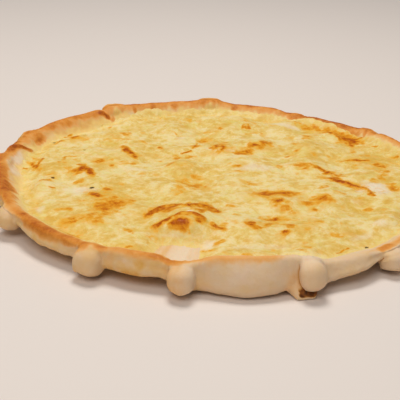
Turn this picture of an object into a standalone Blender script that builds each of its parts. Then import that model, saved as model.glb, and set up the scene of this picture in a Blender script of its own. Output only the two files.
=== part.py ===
"""Cheese manakish: a round flat bread whose raised rim is pinched into knobs, with a layer of baked cheese.

Metres, +Z up. The origin is the centre of the flat underside, the front is -Y and the right is +X.
Angles run anticlockwise from +X, seen from above.
"""

from collections import namedtuple

import bpy
import numpy as np

MM = 0.001

# The bread
CREST_RADIUS = 130 * MM  # centre to the top edge of the rim, on average
OUTLINE_WAVES = (  # waves round the rim, share of the radius, angle of the first outward bulge
    (1, 0.006, -135),
    (2, 0.010, 110),
    (3, 0.004, -85),
    (5, 0.004, 10),
)
FLOOR = 7.2 * MM  # thickness of the bread under the cheese
PINCH_OUT = 1.6 * MM  # how far the crest is drawn out at a pinch
PINCH_SPREAD = 3.2  # half-width of that, in degrees

# The rim's section, from the dish's floor up to the crest, down the wall and in under it
BANK = (  # distance in from the crest, share of the crest's height above the floor
    (21 * MM, 0),
    (12.6 * MM, 0.13),
    (7.6 * MM, 0.50),
    (3.5 * MM, 0.88),
)
LIP = (2.3 * MM, 0.12)  # the rounded top edge: half its thickness, share of that height it falls
WALL = ((0.75, 0.60), (1, 0.32))  # share of the bulge, share of the height from foot to crest
FOOT = (1.6 * MM, 0.08)  # distance in from the widest point, share of the height from foot to crest
UNDERSIDE = ((6.5 * MM, 0.95), (15 * MM, 0.35), (25 * MM, 0))  # distance in from there, share of the lift

# The rim at each pinch, in degrees and mm: the knob, then the height of the crest, how far the wall
# bulges out past it, how far its foot is lifted off the flat, and how far in the cheese's edge lies
Pinch = namedtuple("Pinch", "angle knob_width reach knob_low crest bulge lift inset")
PINCHES = (
    Pinch(-147, 15, 6, 3.5, 15.0, 2.5, 9.0, 9.0),
    Pinch(-117.7, 15, 7.5, 1.6, 15.0, 3.0, 6.0, 3.5),
    Pinch(-97.5, 13, 8.5, 1.6, 15.0, 4.0, 2.0, 5.0),
    Pinch(-71.5, 13.0, 7.2, 3.4, 16.0, 5.0, 2.0, 5.0),
    Pinch(-50, 15.5, 8, 0.8, 12.5, 3.0, 8.0, 9.0),
    Pinch(-20, 15, 7, 2.0, 12.5, 3.0, 5.5, 5.0),
    Pinch(9, 14, 7, 2.0, 16.0, 3.0, 5.0, 5.0),
    Pinch(38, 15, 7, 2.0, 14.6, 3.0, 4.5, 4.0),
    Pinch(64, 15, 6, 2.0, 12.2, 3.0, 4.5, 3.8),
    Pinch(92, 14, 7, 2.0, 18.8, 3.0, 4.5, 6.5),
    Pinch(124, 14, 6, 2.0, 18.7, 3.0, 4.5, 8.0),
    Pinch(157, 14, 5, 2.5, 15.3, 3.0, 5.0, 11.0),
    Pinch(179, 14, 5, 2.5, 16.5, 3.0, 6.5, 11.5),
)
# The last four of these half-way from each pinch to the next, anticlockwise
Stretch = namedtuple("Stretch", "crest bulge lift inset")
STRETCHES = (
    Stretch(15.5, 4.5, 6.0, 5.0),
    Stretch(17.0, 5.5, 5.5, 4.0),
    Stretch(19.2, 9.5, 0.3, 6.0),
    Stretch(13.5, 6.0, 5.0, 8.0),
    Stretch(13.0, 5.0, 4.5, 6.0),
    Stretch(13.5, 5.0, 4.0, 5.0),
    Stretch(17.4, 5.0, 4.0, 4.5),
    Stretch(14.8, 5.0, 4.0, 3.8),
    Stretch(16.5, 5.0, 3.0, 5.5),
    Stretch(18.1, 5.0, 3.5, 7.5),
    Stretch(17.5, 5.0, 4.0, 11.5),
    Stretch(16.5, 4.5, 4.5, 9.0),
    Stretch(17.0, 4.5, 6.5, 11.0),
)
DIPS = (0.6, 1.0, 1.0, 1.0)  # share of half a stretch that a pinch draws in, of those four
# Dips of the crest, and rises where the depth is below 0: angle, half-width, depth
NOTCHES = ((-99, 2.5, 1.2 * MM), (-74.2, 2.2, -1.8 * MM), (126.8, 1.6, 2.0 * MM))
RAISED = (-101.8, 2.6, 3.0 * MM)  # where the wall's foot is raised more: angle, half-width, height
KNOB_TOPS = {-117.7: 0.4, -97.5: 0.8, -71.5: 1.2}  # mm over the crest, at these pinches
KNOB_TOP = -0.6  # and at the others
KNOB_ROOT = 7 * MM  # how far a knob goes into the wall
KNOB_LEAN = 0.30  # how far a knob's foot swings out, as a slope
SQUARENESS = 2.5  # exponent of a knob's form: 2 is an egg, and more is boxier
STEPS_OUT = 9  # steps taken to find where a line leaves that form
CREASE = 1.6 * MM  # width of the soft fold where a knob meets the wall
Lump = namedtuple("Lump", "angle width reach low high")
# A torn lip of dough sticks out under one knob: angle, half-width in degrees, and how far past the wall
TORN_LIP = (-73.1, 2.5, 4.4 * MM)
TORN_HEIGHTS = (0.9 * MM, 0.3 * MM)  # of its tip and of its underside

# The cheese
CHEESE_LEVEL = 11.6 * MM
EDGE_THICKNESS = 1.2 * MM
EDGE_SLOPE = 13 * MM  # over which the cheese rises from its edge to its level
GAP = 0.4 * MM  # clear of the bread
Mound = namedtuple("Mound", "x y height radius")
MOUNDS = (  # mm
    Mound(-15, -77, 4.6, 23),
    Mound(-80, -6, 1.6, 15),
    Mound(-62, -58, 1.2, 16),
    Mound(34, -40, 1.3, 16),
    Mound(-58, 34, 1.4, 14),
    Mound(20, 36, 1.3, 20),
    Mound(72, -14, 1.4, 20),
    Mound(64, 46, 1.0, 18),
    Mound(-10, -14, -1.0, 18),
    Mound(26, -82, -0.8, 14),
    Mound(-40, 93, 1.7, 26),
    Mound(6, 103, 1.8, 24),
)
RIPPLES = 14  # broad soft waves of the melted surface
RIPPLE_HEIGHT = 0.35 * MM
RIPPLE_LENGTHS = (26 * MM, 60 * MM)
# Where the cheese stops short: angle, half-width in degrees, depth, and how much deeper with each degree on
BARE_PATCH = (-101.2, 6.2, 29 * MM, 0.5 * MM)
EDGE_WAVES = ((7, 1.0 * MM, 1.0), (12, 0.8 * MM, 2.3))  # waves round the edge, height, start in radians
EDGE_SAMPLES = 720  # points round the edge that distances are measured to

# Mesh fineness
CRUST_COLUMNS = 176
COLUMN_CROWDING = 4.5  # how much closer the columns stand at a knob
ROWS = (1, 2, 2, 2, 2, 3, 3, 2, 2, 1, 1)  # from each control point of the rim's section to the next
CHEESE_COLUMNS = 108
CHEESE_RINGS = 17
RING_CROWDING = 1.15  # over 1, the rings stand closer together near the edge
UNDER_RINGS = (0.95, 0.86, 0.7, 0.35)  # shares of the edge's radius

CRUST_COLOUR = (0.66, 0.42, 0.19, 1)
CHEESE_COLOUR = (0.80, 0.58, 0.24, 1)
SEED = 7


def ease(x):
    """Smooth step from 0 to 1 while x goes from 0 to 1."""
    x = np.clip(x, 0, 1)
    return x * x * (3 - 2 * x)


def round_the_rim(phi, at_pinch, at_stretch, dip):
    """A value given at each pinch and for the stretch after it. Around a pinch it eases from one to the
    other within `dip` of half a stretch; phi is in radians."""
    pinch = np.array([row.angle for row in PINCHES], float)
    degrees = (np.degrees(phi) - pinch[0]) % 360 + pinch[0]
    start = np.searchsorted(pinch, degrees, side="right") - 1
    end = (start + 1) % len(pinch)
    length = (pinch[end] - pinch[start]) % 360
    along = (degrees - pinch[start]) / length
    nearest = np.where(along < 0.5, start, end)
    away = ease(2 * np.minimum(along, 1 - along) / dip)
    return at_pinch[nearest] + (at_stretch[start] - at_pinch[nearest]) * away


def bell(phi, angle, half_width):
    """1 at an angle, falling away over a half-width, both in degrees; phi is in radians."""
    away = (np.degrees(phi) - angle + 180) % 360 - 180
    return np.exp(-((away / half_width) ** 2))


def torn(phi):
    """1 along the torn lip, with soft ends."""
    angle, half_width, _ = TORN_LIP
    away = np.abs((np.degrees(phi) - angle + 180) % 360 - 180)
    return ease((1.35 - away / half_width) / 0.75)


def crest_radius(phi):
    """Centre to crest: a circle with slow waves, R (1 + sum a cos n (phi - phi0)), out at each pinch."""
    waves = sum(share * np.cos(n * (phi - np.radians(start))) for n, share, start in OUTLINE_WAVES)
    pinches = sum(bell(phi, row.angle, PINCH_SPREAD) for row in PINCHES)
    return CREST_RADIUS * (1 + waves) + PINCH_OUT * pinches


def rim_shape(phi):
    """At each angle: height of the crest, bulge of the wall past it, lift of its foot, and inset of the
    cheese's edge."""
    at_pinch = np.array([(row.crest, row.bulge, row.lift, row.inset) for row in PINCHES]).T * MM
    at_stretch = np.array(STRETCHES).T * MM
    crest, bulge, lift, inset = (round_the_rim(phi, *pair) for pair in zip(at_pinch, at_stretch, DIPS))
    for angle, half_width, depth in NOTCHES:
        crest = crest - depth * bell(phi, angle, half_width)
    angle, half_width, height = RAISED
    return crest, bulge, lift + height * bell(phi, angle, half_width), inset


def rim_section(phi):
    """Control points (radius, height) of the rim's section at each angle, from the dish to the underside."""
    crest = crest_radius(phi)
    top, bulge, lift, _ = rim_shape(phi)
    widest = crest + bulge
    rise = top - FLOOR
    wall = top - lift
    lip_half, lip_fall = LIP
    foot_in, foot_up = FOOT
    points = [(crest - inward, FLOOR + share * rise) for inward, share in BANK]
    points += [(crest, top), (crest + lip_half, top - lip_fall * rise)]
    points += [(crest + out * bulge, lift + up * wall) for out, up in WALL]
    points += [(widest - foot_in, lift + foot_up * wall)]
    points += [(widest - inward, share * lift) for inward, share in UNDERSIDE]
    lip = torn(phi)
    for i, height in zip((-1 - len(UNDERSIDE), -len(UNDERSIDE)), TORN_HEIGHTS):
        radius, plain = points[i]
        points[i] = (radius + (foot_in + TORN_LIP[2]) * lip, plain + (height - plain) * lip)
    return np.array(points)  # control point, (radius, height), angle


def through(points, steps):
    """Catmull-Rom curve through the points: so many samples from each to the next, then the last point."""
    padded = np.concatenate([2 * points[:1] - points[1:2], points, 2 * points[-1:] - points[-2:-1]])
    samples = []
    for a, b, c, d, count in zip(padded, padded[1:], padded[2:], padded[3:], steps):
        for t in np.arange(count) / count:
            bend = (2 * a - 5 * b + 4 * c - d) * t + (3 * b - a - 3 * c + d) * t * t
            samples.append(b + 0.5 * t * (c - a + bend))
    samples.append(points[-1])
    return np.array(samples)


def column_angles(count):
    """Angles round the rim, crowded together at the knobs."""
    fine = np.linspace(0, 2 * np.pi, 4001)
    crowding = np.ones_like(fine)
    for row in PINCHES:
        half_width = np.degrees(0.6 * row.knob_width * MM / CREST_RADIUS)
        crowding += COLUMN_CROWDING * bell(fine, row.angle, half_width)
    total = np.concatenate([[0], np.cumsum((crowding[1:] + crowding[:-1]) / 2)])
    return np.interp(np.arange(count) / count, total / total[-1], fine)


def leaving(start, along):
    """How far each line from an inner point goes until it leaves the knob's form, sum |p|^n = 1, by
    Newton's steps from outside, which never pass the form because it is convex."""
    a = (along**2).sum(-1)
    b = along @ start
    c = start @ start - 3 ** (1 - 2 / SQUARENESS)
    length = (-b + np.sqrt(b * b - a * c)) / a
    for _ in range(STEPS_OUT):
        place = start + along * length[..., None]
        steep = np.abs(place) ** (SQUARENESS - 1)
        outside = (steep * np.abs(place)).sum(-1) - 1
        length = length - outside / (SQUARENESS * (steep * np.sign(place) * along).sum(-1))
    return length


def press_lump(points, lump, root, lean):
    """The surface with a leaning, boxy egg of dough pressed out of it. Seen from a point inside the rim,
    it lies at the farther of its own distance and the lump's, with a soft fold between them."""
    angle = np.radians(lump.angle)
    out = np.array([np.cos(angle), np.sin(angle), 0])
    side = np.array([-out[1], out[0], 0])
    up = np.array([0, 0, 1.0])
    axis = (up - lean * out) / np.hypot(1, lean)
    crest, bulge, lift, _ = rim_shape(angle)
    wall = crest_radius(angle) + bulge
    reach, width, low, high = np.array([lump.reach, lump.width, lump.low, lump.high]) * MM
    half = np.array([reach + root, width, high - low]) / 2
    centre = out * (wall + reach - half[0]) + up * (low + high) / 2
    depth = np.clip((lift + crest) / 2, low + 0.3 * (high - low), high - 0.3 * (high - low))
    inside = out * (wall - 0.35 * root) + up * depth
    frame = np.array([np.cross(side, axis), side, axis]) / half[:, None]
    ray = points - inside
    far = np.linalg.norm(ray, axis=-1)
    along = ray @ frame.T / far[..., None]
    start = frame @ (inside - centre)
    surface = leaving(start, along)
    near = np.clip(1 - np.abs(surface - far) / CREASE, 0, None)
    farther = np.maximum(far, surface) + near**2 * CREASE / 4
    return inside + ray * (farther / far)[..., None]


def press_knobs(points):
    """A knob at each pinch, from near the flat up to about the crest."""
    for row in PINCHES:
        top = rim_shape(np.radians(row.angle))[0] / MM + KNOB_TOPS.get(row.angle, KNOB_TOP)
        knob = Lump(row.angle, row.knob_width, row.reach, row.knob_low, top)
        points = press_lump(points, knob, KNOB_ROOT, KNOB_LEAN)
    return points


def ring(radius, phi, height):
    """Points at an angle, a radius and a height, as x, y, z."""
    return np.stack([radius * np.cos(phi), radius * np.sin(phi), height], axis=-1)


def closed_skin(points, first_pole, last_pole):
    """Vertices and faces of a skin of rings, with a fan to a pole at each end."""
    rings, columns, _ = points.shape
    here = np.arange(columns)
    after = np.roll(here, -1)
    faces = [
        (i * columns + a, (i + 1) * columns + a, (i + 1) * columns + b, i * columns + b)
        for i in range(rings - 1)
        for a, b in zip(here, after)
    ]
    last = (rings - 1) * columns
    start, end = rings * columns, rings * columns + 1
    faces += [(start, a, b) for a, b in zip(here, after)]
    faces += [(end, last + b, last + a) for a, b in zip(here, after)]
    vertices = np.concatenate([points.reshape(-1, 3), [first_pole], [last_pole]])
    return vertices, [tuple(int(i) for i in face) for face in faces]


def dish_height(radius, phi):
    """Height of the bread's upper face under the cheese, read off the rim's section."""
    section = through(rim_section(phi)[: len(BANK) + 1], (8,) * len(BANK))
    heights = np.empty_like(radius)
    for i in range(radius.shape[-1]):
        heights[..., i] = np.interp(radius[..., i], section[:, 0, i], section[:, 1, i])
    return heights


def cheese_edge(phi):
    """Radius of the cheese's edge: uneven, and drawn back at the bare patch."""
    angle, half_width, depth, deeper = BARE_PATCH
    around = (np.degrees(phi) - angle + 180) % 360 - 180
    short = (depth + deeper * around) * ease((1.12 - np.abs(around) / half_width) / 0.24)
    uneven = sum(height * np.sin(n * phi + start) for n, height, start in EDGE_WAVES)
    return crest_radius(phi) - rim_shape(phi)[3] - short + uneven


def edge_distance(x, y):
    """Distance from each point to the nearest of the samples of the cheese's edge."""
    around = np.arange(EDGE_SAMPLES) * 2 * np.pi / EDGE_SAMPLES
    radius = cheese_edge(around)
    nearest = np.full_like(x, np.inf)
    for edge_x, edge_y in zip(radius * np.cos(around), radius * np.sin(around)):
        nearest = np.minimum(nearest, (x - edge_x) ** 2 + (y - edge_y) ** 2)
    return np.sqrt(nearest)


def cheese_relief(x, y):
    """Broad mounds and seeded soft ripples of the melted cheese."""
    relief = np.zeros_like(x)
    for mound in MOUNDS:
        distance = np.hypot(x - mound.x * MM, y - mound.y * MM) / (mound.radius * MM)
        relief += mound.height * MM * np.exp(-(distance**2) * (1 + 0.6 * distance**2))
    draw = np.random.default_rng(SEED)
    for _ in range(RIPPLES):
        length = draw.uniform(*RIPPLE_LENGTHS)
        heading, start = draw.uniform(0, 2 * np.pi, 2)
        along = x * np.cos(heading) + y * np.sin(heading)
        relief += RIPPLE_HEIGHT * np.sin(2 * np.pi * along / length + start)
    return relief


def cheese_skin():
    """Rings (ring, column, xyz) from the middle of the top, over the edge, to the middle of the underside."""
    phi = np.arange(CHEESE_COLUMNS) * 2 * np.pi / CHEESE_COLUMNS
    edge = cheese_edge(phi)
    shares = 1 - (1 - np.arange(1, CHEESE_RINGS + 1) / CHEESE_RINGS) ** RING_CROWDING
    radius = shares[:, None] * edge
    thin = dish_height(radius, phi) + GAP + EDGE_THICKNESS
    x, y = radius * np.cos(phi), radius * np.sin(phi)
    level = CHEESE_LEVEL + cheese_relief(x, y)
    swell = ease(edge_distance(x, y) / EDGE_SLOPE)
    top = np.maximum(thin, thin * (1 - swell) + level * swell)
    lip_radius = edge + 0.4 * EDGE_THICKNESS
    lip_height = dish_height(lip_radius[None], phi)[0] + GAP + 0.45 * EDGE_THICKNESS
    under_radius = np.array(UNDER_RINGS)[:, None] * edge
    under = ring(under_radius, phi, dish_height(under_radius, phi) + GAP)
    return np.concatenate([ring(radius, phi, top), ring(lip_radius, phi, lip_height)[None], under])


def add_object(name, vertices, faces, colour, roughness):
    mesh = bpy.data.meshes.new(name)
    mesh.from_pydata(vertices.tolist(), [], faces)
    mesh.shade_smooth()
    material = bpy.data.materials.new(name)
    material.use_nodes = True
    shader = material.node_tree.nodes["Principled BSDF"]
    shader.inputs["Base Color"].default_value = colour
    shader.inputs["Roughness"].default_value = roughness
    mesh.materials.append(material)
    bpy.context.scene.collection.objects.link(bpy.data.objects.new(name, mesh))


def make_crust():
    """The bread: flat underside, dish and rim in one skin, with the knobs pressed out of the rim."""
    phi = column_angles(CRUST_COLUMNS)
    section = through(rim_section(phi), ROWS)
    skin = press_knobs(ring(section[:, 0], phi, section[:, 1]))
    vertices, faces = closed_skin(skin, (0, 0, FLOOR), (0, 0, 0))
    add_object("crust", vertices, faces, CRUST_COLOUR, 0.75)


def make_cheese():
    """The melted layer, thick over the dish and thin at its uneven edge."""
    skin = cheese_skin()
    middle_height = CHEESE_LEVEL + float(cheese_relief(np.zeros(1), np.zeros(1))[0])
    vertices, faces = closed_skin(skin, (0, 0, middle_height), (0, 0, FLOOR + GAP))
    add_object("cheese", vertices, faces, CHEESE_COLOUR, 0.45)


for old in list(bpy.data.objects):
    bpy.data.objects.remove(old, do_unlink=True)
make_crust()
make_cheese()
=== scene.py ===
"""Cheese manakish: the baked dough and the melted cheese in full detail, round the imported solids.

Metres, +Z up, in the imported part's frame: the front is -Y and the right is +X. Angles run anticlockwise
from +X, seen from above. Each piece is one closed skin worked out with numpy. It stands for the solid of
the same form and repeats that solid's driving sizes. A fade is a pair: the values where a smooth step is
0 and where it is 1. A noise is a tuple: strength, size, seed and number of layers.
"""

import math
from collections import namedtuple

import bpy
import numpy as np
from mathutils import Matrix, Vector


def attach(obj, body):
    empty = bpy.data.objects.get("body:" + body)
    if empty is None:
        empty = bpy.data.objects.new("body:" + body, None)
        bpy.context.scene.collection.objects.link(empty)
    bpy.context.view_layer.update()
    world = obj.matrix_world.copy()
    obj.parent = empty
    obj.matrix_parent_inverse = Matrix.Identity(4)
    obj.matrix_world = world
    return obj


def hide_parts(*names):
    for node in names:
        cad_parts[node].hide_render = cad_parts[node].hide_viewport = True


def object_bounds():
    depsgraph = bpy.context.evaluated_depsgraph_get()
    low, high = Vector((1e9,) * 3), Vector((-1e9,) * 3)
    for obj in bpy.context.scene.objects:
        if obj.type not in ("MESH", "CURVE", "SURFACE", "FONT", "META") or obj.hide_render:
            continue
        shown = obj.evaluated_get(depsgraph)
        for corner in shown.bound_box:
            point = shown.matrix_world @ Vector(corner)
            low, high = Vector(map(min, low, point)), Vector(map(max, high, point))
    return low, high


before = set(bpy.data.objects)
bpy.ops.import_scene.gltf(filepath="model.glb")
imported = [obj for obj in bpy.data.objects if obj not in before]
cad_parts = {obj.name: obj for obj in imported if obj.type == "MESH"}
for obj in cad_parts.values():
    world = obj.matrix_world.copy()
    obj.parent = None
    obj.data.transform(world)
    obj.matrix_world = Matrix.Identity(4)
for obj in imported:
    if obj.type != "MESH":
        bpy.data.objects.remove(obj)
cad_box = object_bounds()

MM = 0.001

# ---------------------------------------------------------------- The bread's form, as in the solids
CREST_RADIUS = 130 * MM  # centre to the top edge of the rim, on average
OUTLINE_WAVES = (  # waves round the rim, share of the radius, angle of the first outward bulge
    (1, 0.006, -135),
    (2, 0.010, 110),
    (3, 0.004, -85),
    (5, 0.004, 10),
)
FLOOR = 7.2 * MM  # thickness of the bread under the cheese
PINCH_OUT = 1.6 * MM  # how far the crest is drawn out at a pinch
PINCH_SPREAD = 3.2  # half-width of that, in degrees

# The rim's section, from the dish's floor up to the crest, down the wall and in under it
BANK = (  # distance in from the crest, share of the crest's height above the floor
    (21 * MM, 0),
    (12.6 * MM, 0.13),
    (7.6 * MM, 0.50),
    (3.5 * MM, 0.88),
)
LIP = (2.3 * MM, 0.12)  # the rounded top edge: half its thickness, share of that height it falls
WALL = ((0.75, 0.60), (1, 0.32))  # share of the bulge, share of the height from foot to crest
FOOT = (1.6 * MM, 0.08)  # distance in from the widest point, share of the height from foot to crest
UNDERSIDE = ((6.5 * MM, 0.95), (15 * MM, 0.35), (25 * MM, 0))  # distance in from there, share of the lift

# The rim at each pinch, in degrees and mm: the knob, then the height of the crest, how far the wall
# bulges out past it, how far its foot is lifted off the flat, and how far in the cheese's edge lies
Pinch = namedtuple("Pinch", "angle knob_width reach knob_low crest bulge lift inset")
PINCHES = [Pinch(*row) for row in (
    (-147, 15, 6, 3.5, 15.0, 2.5, 9.0, 9.0),
    (-117.7, 15, 7.5, 1.6, 15.0, 3.0, 6.0, 3.5),
    (-97.5, 13, 8.5, 1.6, 15.0, 4.0, 2.0, 5.0),
    (-71.5, 13.0, 7.2, 3.4, 16.0, 5.0, 2.0, 5.0),
    (-50, 15.5, 8, 0.8, 12.5, 3.0, 8.0, 9.0),
    (-20, 15, 7, 2.0, 12.5, 3.0, 5.5, 5.0),
    (9, 14, 7, 2.0, 16.0, 3.0, 5.0, 5.0),
    (38, 15, 7, 2.0, 14.6, 3.0, 4.5, 4.0),
    (64, 15, 6, 2.0, 12.2, 3.0, 4.5, 3.8),
    (92, 14, 7, 2.0, 18.8, 3.0, 4.5, 6.5),
    (124, 14, 6, 2.0, 18.7, 3.0, 4.5, 8.0),
    (157, 14, 5, 2.5, 15.3, 3.0, 5.0, 11.0),
    (179, 14, 5, 2.5, 16.5, 3.0, 6.5, 11.5),
)]
# The last four of these half-way from each pinch to the next, anticlockwise
Stretch = namedtuple("Stretch", "crest bulge lift inset")
STRETCHES = [Stretch(*row) for row in (
    (15.5, 4.5, 6.0, 5.0),
    (17.0, 5.5, 5.5, 4.0),
    (19.2, 9.5, 0.3, 6.0),
    (13.5, 6.0, 5.0, 8.0),
    (13.0, 5.0, 4.5, 6.0),
    (13.5, 5.0, 4.0, 5.0),
    (17.4, 5.0, 4.0, 4.5),
    (14.8, 5.0, 4.0, 3.8),
    (16.5, 5.0, 3.0, 5.5),
    (18.1, 5.0, 3.5, 7.5),
    (17.5, 5.0, 4.0, 11.5),
    (16.5, 4.5, 4.5, 9.0),
    (17.0, 4.5, 6.5, 11.0),
)]
DIPS = (0.6, 1.0, 1.0, 1.0)  # share of half a stretch that a pinch draws in, of those four
# Dips of the crest, and rises where the depth is below 0: angle, half-width, depth
NOTCHES = ((-99, 2.5, 1.2 * MM), (-74.2, 2.2, -1.8 * MM), (126.8, 1.6, 2.0 * MM))
RAISED = (-101.8, 2.6, 3.0 * MM)  # where the wall's foot is raised more: angle, half-width, height
Lump = namedtuple("Lump", "angle width reach low high")  # a knob, in degrees and mm
KNOB_TOPS = {-117.7: 0.4, -97.5: 0.8, -71.5: 1.2}  # mm over the crest, at these pinches
KNOB_TOP = -0.6  # and at the others
KNOB_ROOT = 7 * MM  # how far a knob goes into the wall
KNOB_LEAN = 0.30  # how far a knob's foot swings out, as a slope
SQUARENESS = 2.5  # exponent of a knob's form: 2 is an egg, and more is boxier
STEPS_OUT = 9  # steps taken to find where a line leaves that form
INNER_DEPTH = 0.35  # share of its root that the point a knob is seen from lies in the wall
INNER_MARGIN = 0.3  # and share of its height that this point keeps from the knob's top and foot
# A torn lip of dough sticks out under one knob: angle, half-width in degrees, and how far past the wall
TORN_LIP = (-73.1, 2.5, 4.4 * MM)
TORN_HEIGHTS = (0.9 * MM, 0.3 * MM)  # of its tip and of its underside
TORN_FADE = (1.35, 0.60)  # of its ends, in half-widths

# ---------------------------------------------------------------- The cheese's form, as in the solids
CHEESE_LEVEL = 11.6 * MM
EDGE_THICKNESS = 1.2 * MM
EDGE_SLOPE = 13 * MM  # over which the cheese rises from its edge to its level
MOUNDS = (  # x, y, height, radius in mm
    (-15, -77, 4.6, 23),
    (-80, -6, 1.6, 15),
    (-62, -58, 1.2, 16),
    (34, -40, 1.3, 16),
    (-58, 34, 1.4, 14),
    (20, 36, 1.3, 20),
    (72, -14, 1.4, 20),
    (64, 46, 1.0, 18),
    (-10, -14, -1.0, 18),
    (26, -82, -0.8, 14),
    (-40, 93, 1.7, 26),
    (6, 103, 1.8, 24),
)
MOUND_FLANK = 0.6  # how much steeper than a bell a mound's flank is
RIPPLES = 14  # broad soft waves of the melted surface
RIPPLE_HEIGHT = 0.35 * MM
RIPPLE_LENGTHS = (26 * MM, 60 * MM)
RIPPLE_SEED = 7
# Where the cheese stops short: angle, half-width in degrees, depth, and how much deeper with each degree on
BARE_PATCH = (-101.2, 6.2, 29 * MM, 0.5 * MM)
BARE_FADE = (1.12, 0.88)  # of its sides, in half-widths
EDGE_WAVES = ((7, 1.0 * MM, 1.0), (12, 0.8 * MM, 2.3))  # waves round the edge, height, start in radians

# ---------------------------------------------------------------- Fineness of the two skins
CRUST_COLUMNS = 1280
COLUMN_CROWDING = 1.2  # how much closer the columns stand at a knob
CROWDING_SPREAD = 0.6  # half-width of that, in widths of the knob
ROWS = (6, 8, 8, 6, 5, 8, 8, 11, 9, 3, 2)  # from each control point of the rim's section to the next
BANK_STEPS = 12  # finer samples between two of them, for the height of the bread under the cheese
STROKE_STEPS = 6  # and between two points of a stroke
RIM_ANGLES = 4001  # fine angles that the columns' places are read from
EDGE_ANGLES = 40001  # and those that the cheese's edge is read from
EDGE_SAMPLES = 2400  # points round the cheese's edge that distances are measured to
CHEESE_CELLS = 304  # cells across the disc
CHEESE_MARGIN = 5 * MM  # how far the cheese's skin goes on, sunk in the dough, past its edge
SUNK = 1.0 * MM  # how deep the skin's margin and its part under the bare patch lie in the dough
SUNK_SLOPE = 0.7  # how steeply they dive there
CHEESE_SUNK = 1.6 * MM  # how deep its underside lies in the dough
UNDER_RINGS = (0.985, 0.9, 0.6)  # shares of the skin's radius
NOISE_GAIN = 1.6  # brings noise to about -1 to 1
NOISE_START = 0.37  # share of a cell that its lattice is shifted by, off the object's own axes

# ---------------------------------------------------------------- Detail of the dough, on the skin alone
# Width of the fold where a knob meets the rim: on its clockwise side, on the other side and on top
FOLDS = (0.9 * MM, 3.4 * MM, 8.0 * MM)
LOOSE_FADE = (-0.10, 0.40)  # from the first side to the other, across a knob from -1 to 1
CROWN_FADE = (0.45, 0.85)  # and to the top, up a knob
# The groove pressed in along the tight side: half-width and depth in mm, and how dark it is painted there:
# browning, with painted shade in the crease
PLAIN_SEAM = (0.8, 0.9, 0.35)
SEAMS = {-117.7: (0.8, 1.0, 0.35), -97.5: (0.8, 0.8, 0.45), -71.5: (1.1, 2.6, 0.8)}
# Grooves (and ridges, their depth below 0) up the face of a knob: place across it from -1 to 1, half-width
# as a share of the knob's, depth in mm
PLAIN_GROOVES = ((-0.3, 0.22, 0.4), (0.35, 0.25, 0.3))
KNOB_GROOVES = {
    -117.7: ((-0.55, 0.13, -0.45), (-0.32, 0.15, 0.35)),
    -97.5: ((-0.34, 0.30, 0.50), (0.10, 0.25, -0.20), (0.62, 0.2, 0.15)),
    -71.5: ((0.62, 0.2, 0.3), (-0.15, 0.3, -0.2)),
}
GROOVE_LEAN = 0.12  # how far they lean across, for each step up
GROOVE_START = 1.5 * MM  # way out from the rim at which they are whole
GROOVE_FADE = (1.0, 0.8)  # at the sides of a knob
DEEP_GROOVE = 0.4  # mm; deeper ones are browned
GROOVE_BAKE = 0.16  # so much

DOUGH_RELIEF = (  # slow swellings, small bumps, pores
    (0.42 * MM, 13 * MM, 31, 1),
    (0.14 * MM, 4.5 * MM, 33, 3),
    (0.04 * MM, 1.5 * MM, 36, 2),
)
RELIEF_FADE = (0.2 * MM, 2.7 * MM)  # heights over which relief comes in, above the flat underside
# Wrinkles up and down beside the pinches: height, size, seed, sharpness, half-width in degrees of the
# places that have them, and how far the noise is squeezed along the section
WRINKLE_HEIGHT, WRINKLE_SIZE, WRINKLE_SEED = 0.26 * MM, 3.4 * MM, 37
WRINKLE_SHARPNESS, WRINKLE_SPREAD, WRINKLE_SQUEEZE = 2.4, 6.5, 0.25
WRINKLE_DEPTH = -0.5  # the hollows between them go no deeper than this share of the height

FOOT_CONTROL = 8  # which of the section's control points is the wall's foot
FOOT_SPREAD = 3.5 * MM  # how far along the section the foot's raggedness reaches
FOOT_RAG = ((0.55 * MM, 5 * MM, 39, 1),)
FOOT_SQUEEZE = 0.3  # of that noise along the section
FOOT_CALM = 5  # half-width of the calm places at the knobs, in degrees

# The torn lip's hollow is painted dark but for an edge, wider on its clockwise end: painted shade, with some
# browning
HOLLOW_SHIFT = math.radians(-0.7)
HOLLOW_ENDS = (0.35, 0.85)  # fade at its ends, as a share of the lip
HOLLOW_FOOT = (1.1 * MM, 2.0 * MM)  # and in height, upwards
HOLLOW_TOP = (5.5 * MM, 4.0 * MM)  # and downwards
HOLLOW_RAG = ((0.35 * MM, 2.2 * MM, 44, 3),)
HOLLOW_MOTTLE = ((0.35, 1.6 * MM, 45, 1),)
HOLLOW_DARKNESS = 0.85  # how dark the hollow is painted on average

MELTED_REACH = (5 * MM, 6 * MM)  # how far past its edge the cheese tints the dough, and more at the back, where the tint is partly painted light on the shaded bank
BACK = (100, 34)  # the middle and half-width of that, in degrees
MELTED_RAG = ((0.45, 5 * MM, 46, 3),)
MELTED_FADE = (-1.1, -0.1)  # in reaches past the edge
MELTED_PALE = 0.8  # how far pale dough keeps that tint off

# ---------------------------------------------------------------- Detail of the cheese, on the skin alone
FILM_RISE = 3.2 * MM  # way in over which the edge's film reaches most of its thickness
SOFT_JOIN = 0.9 * MM  # how rounded the hollow is where that film meets the level cheese
EDGE_RAG = ((1.2 * MM, 12 * MM, 81, 3), (0.5 * MM, 3 * MM, 85, 1))
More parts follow.
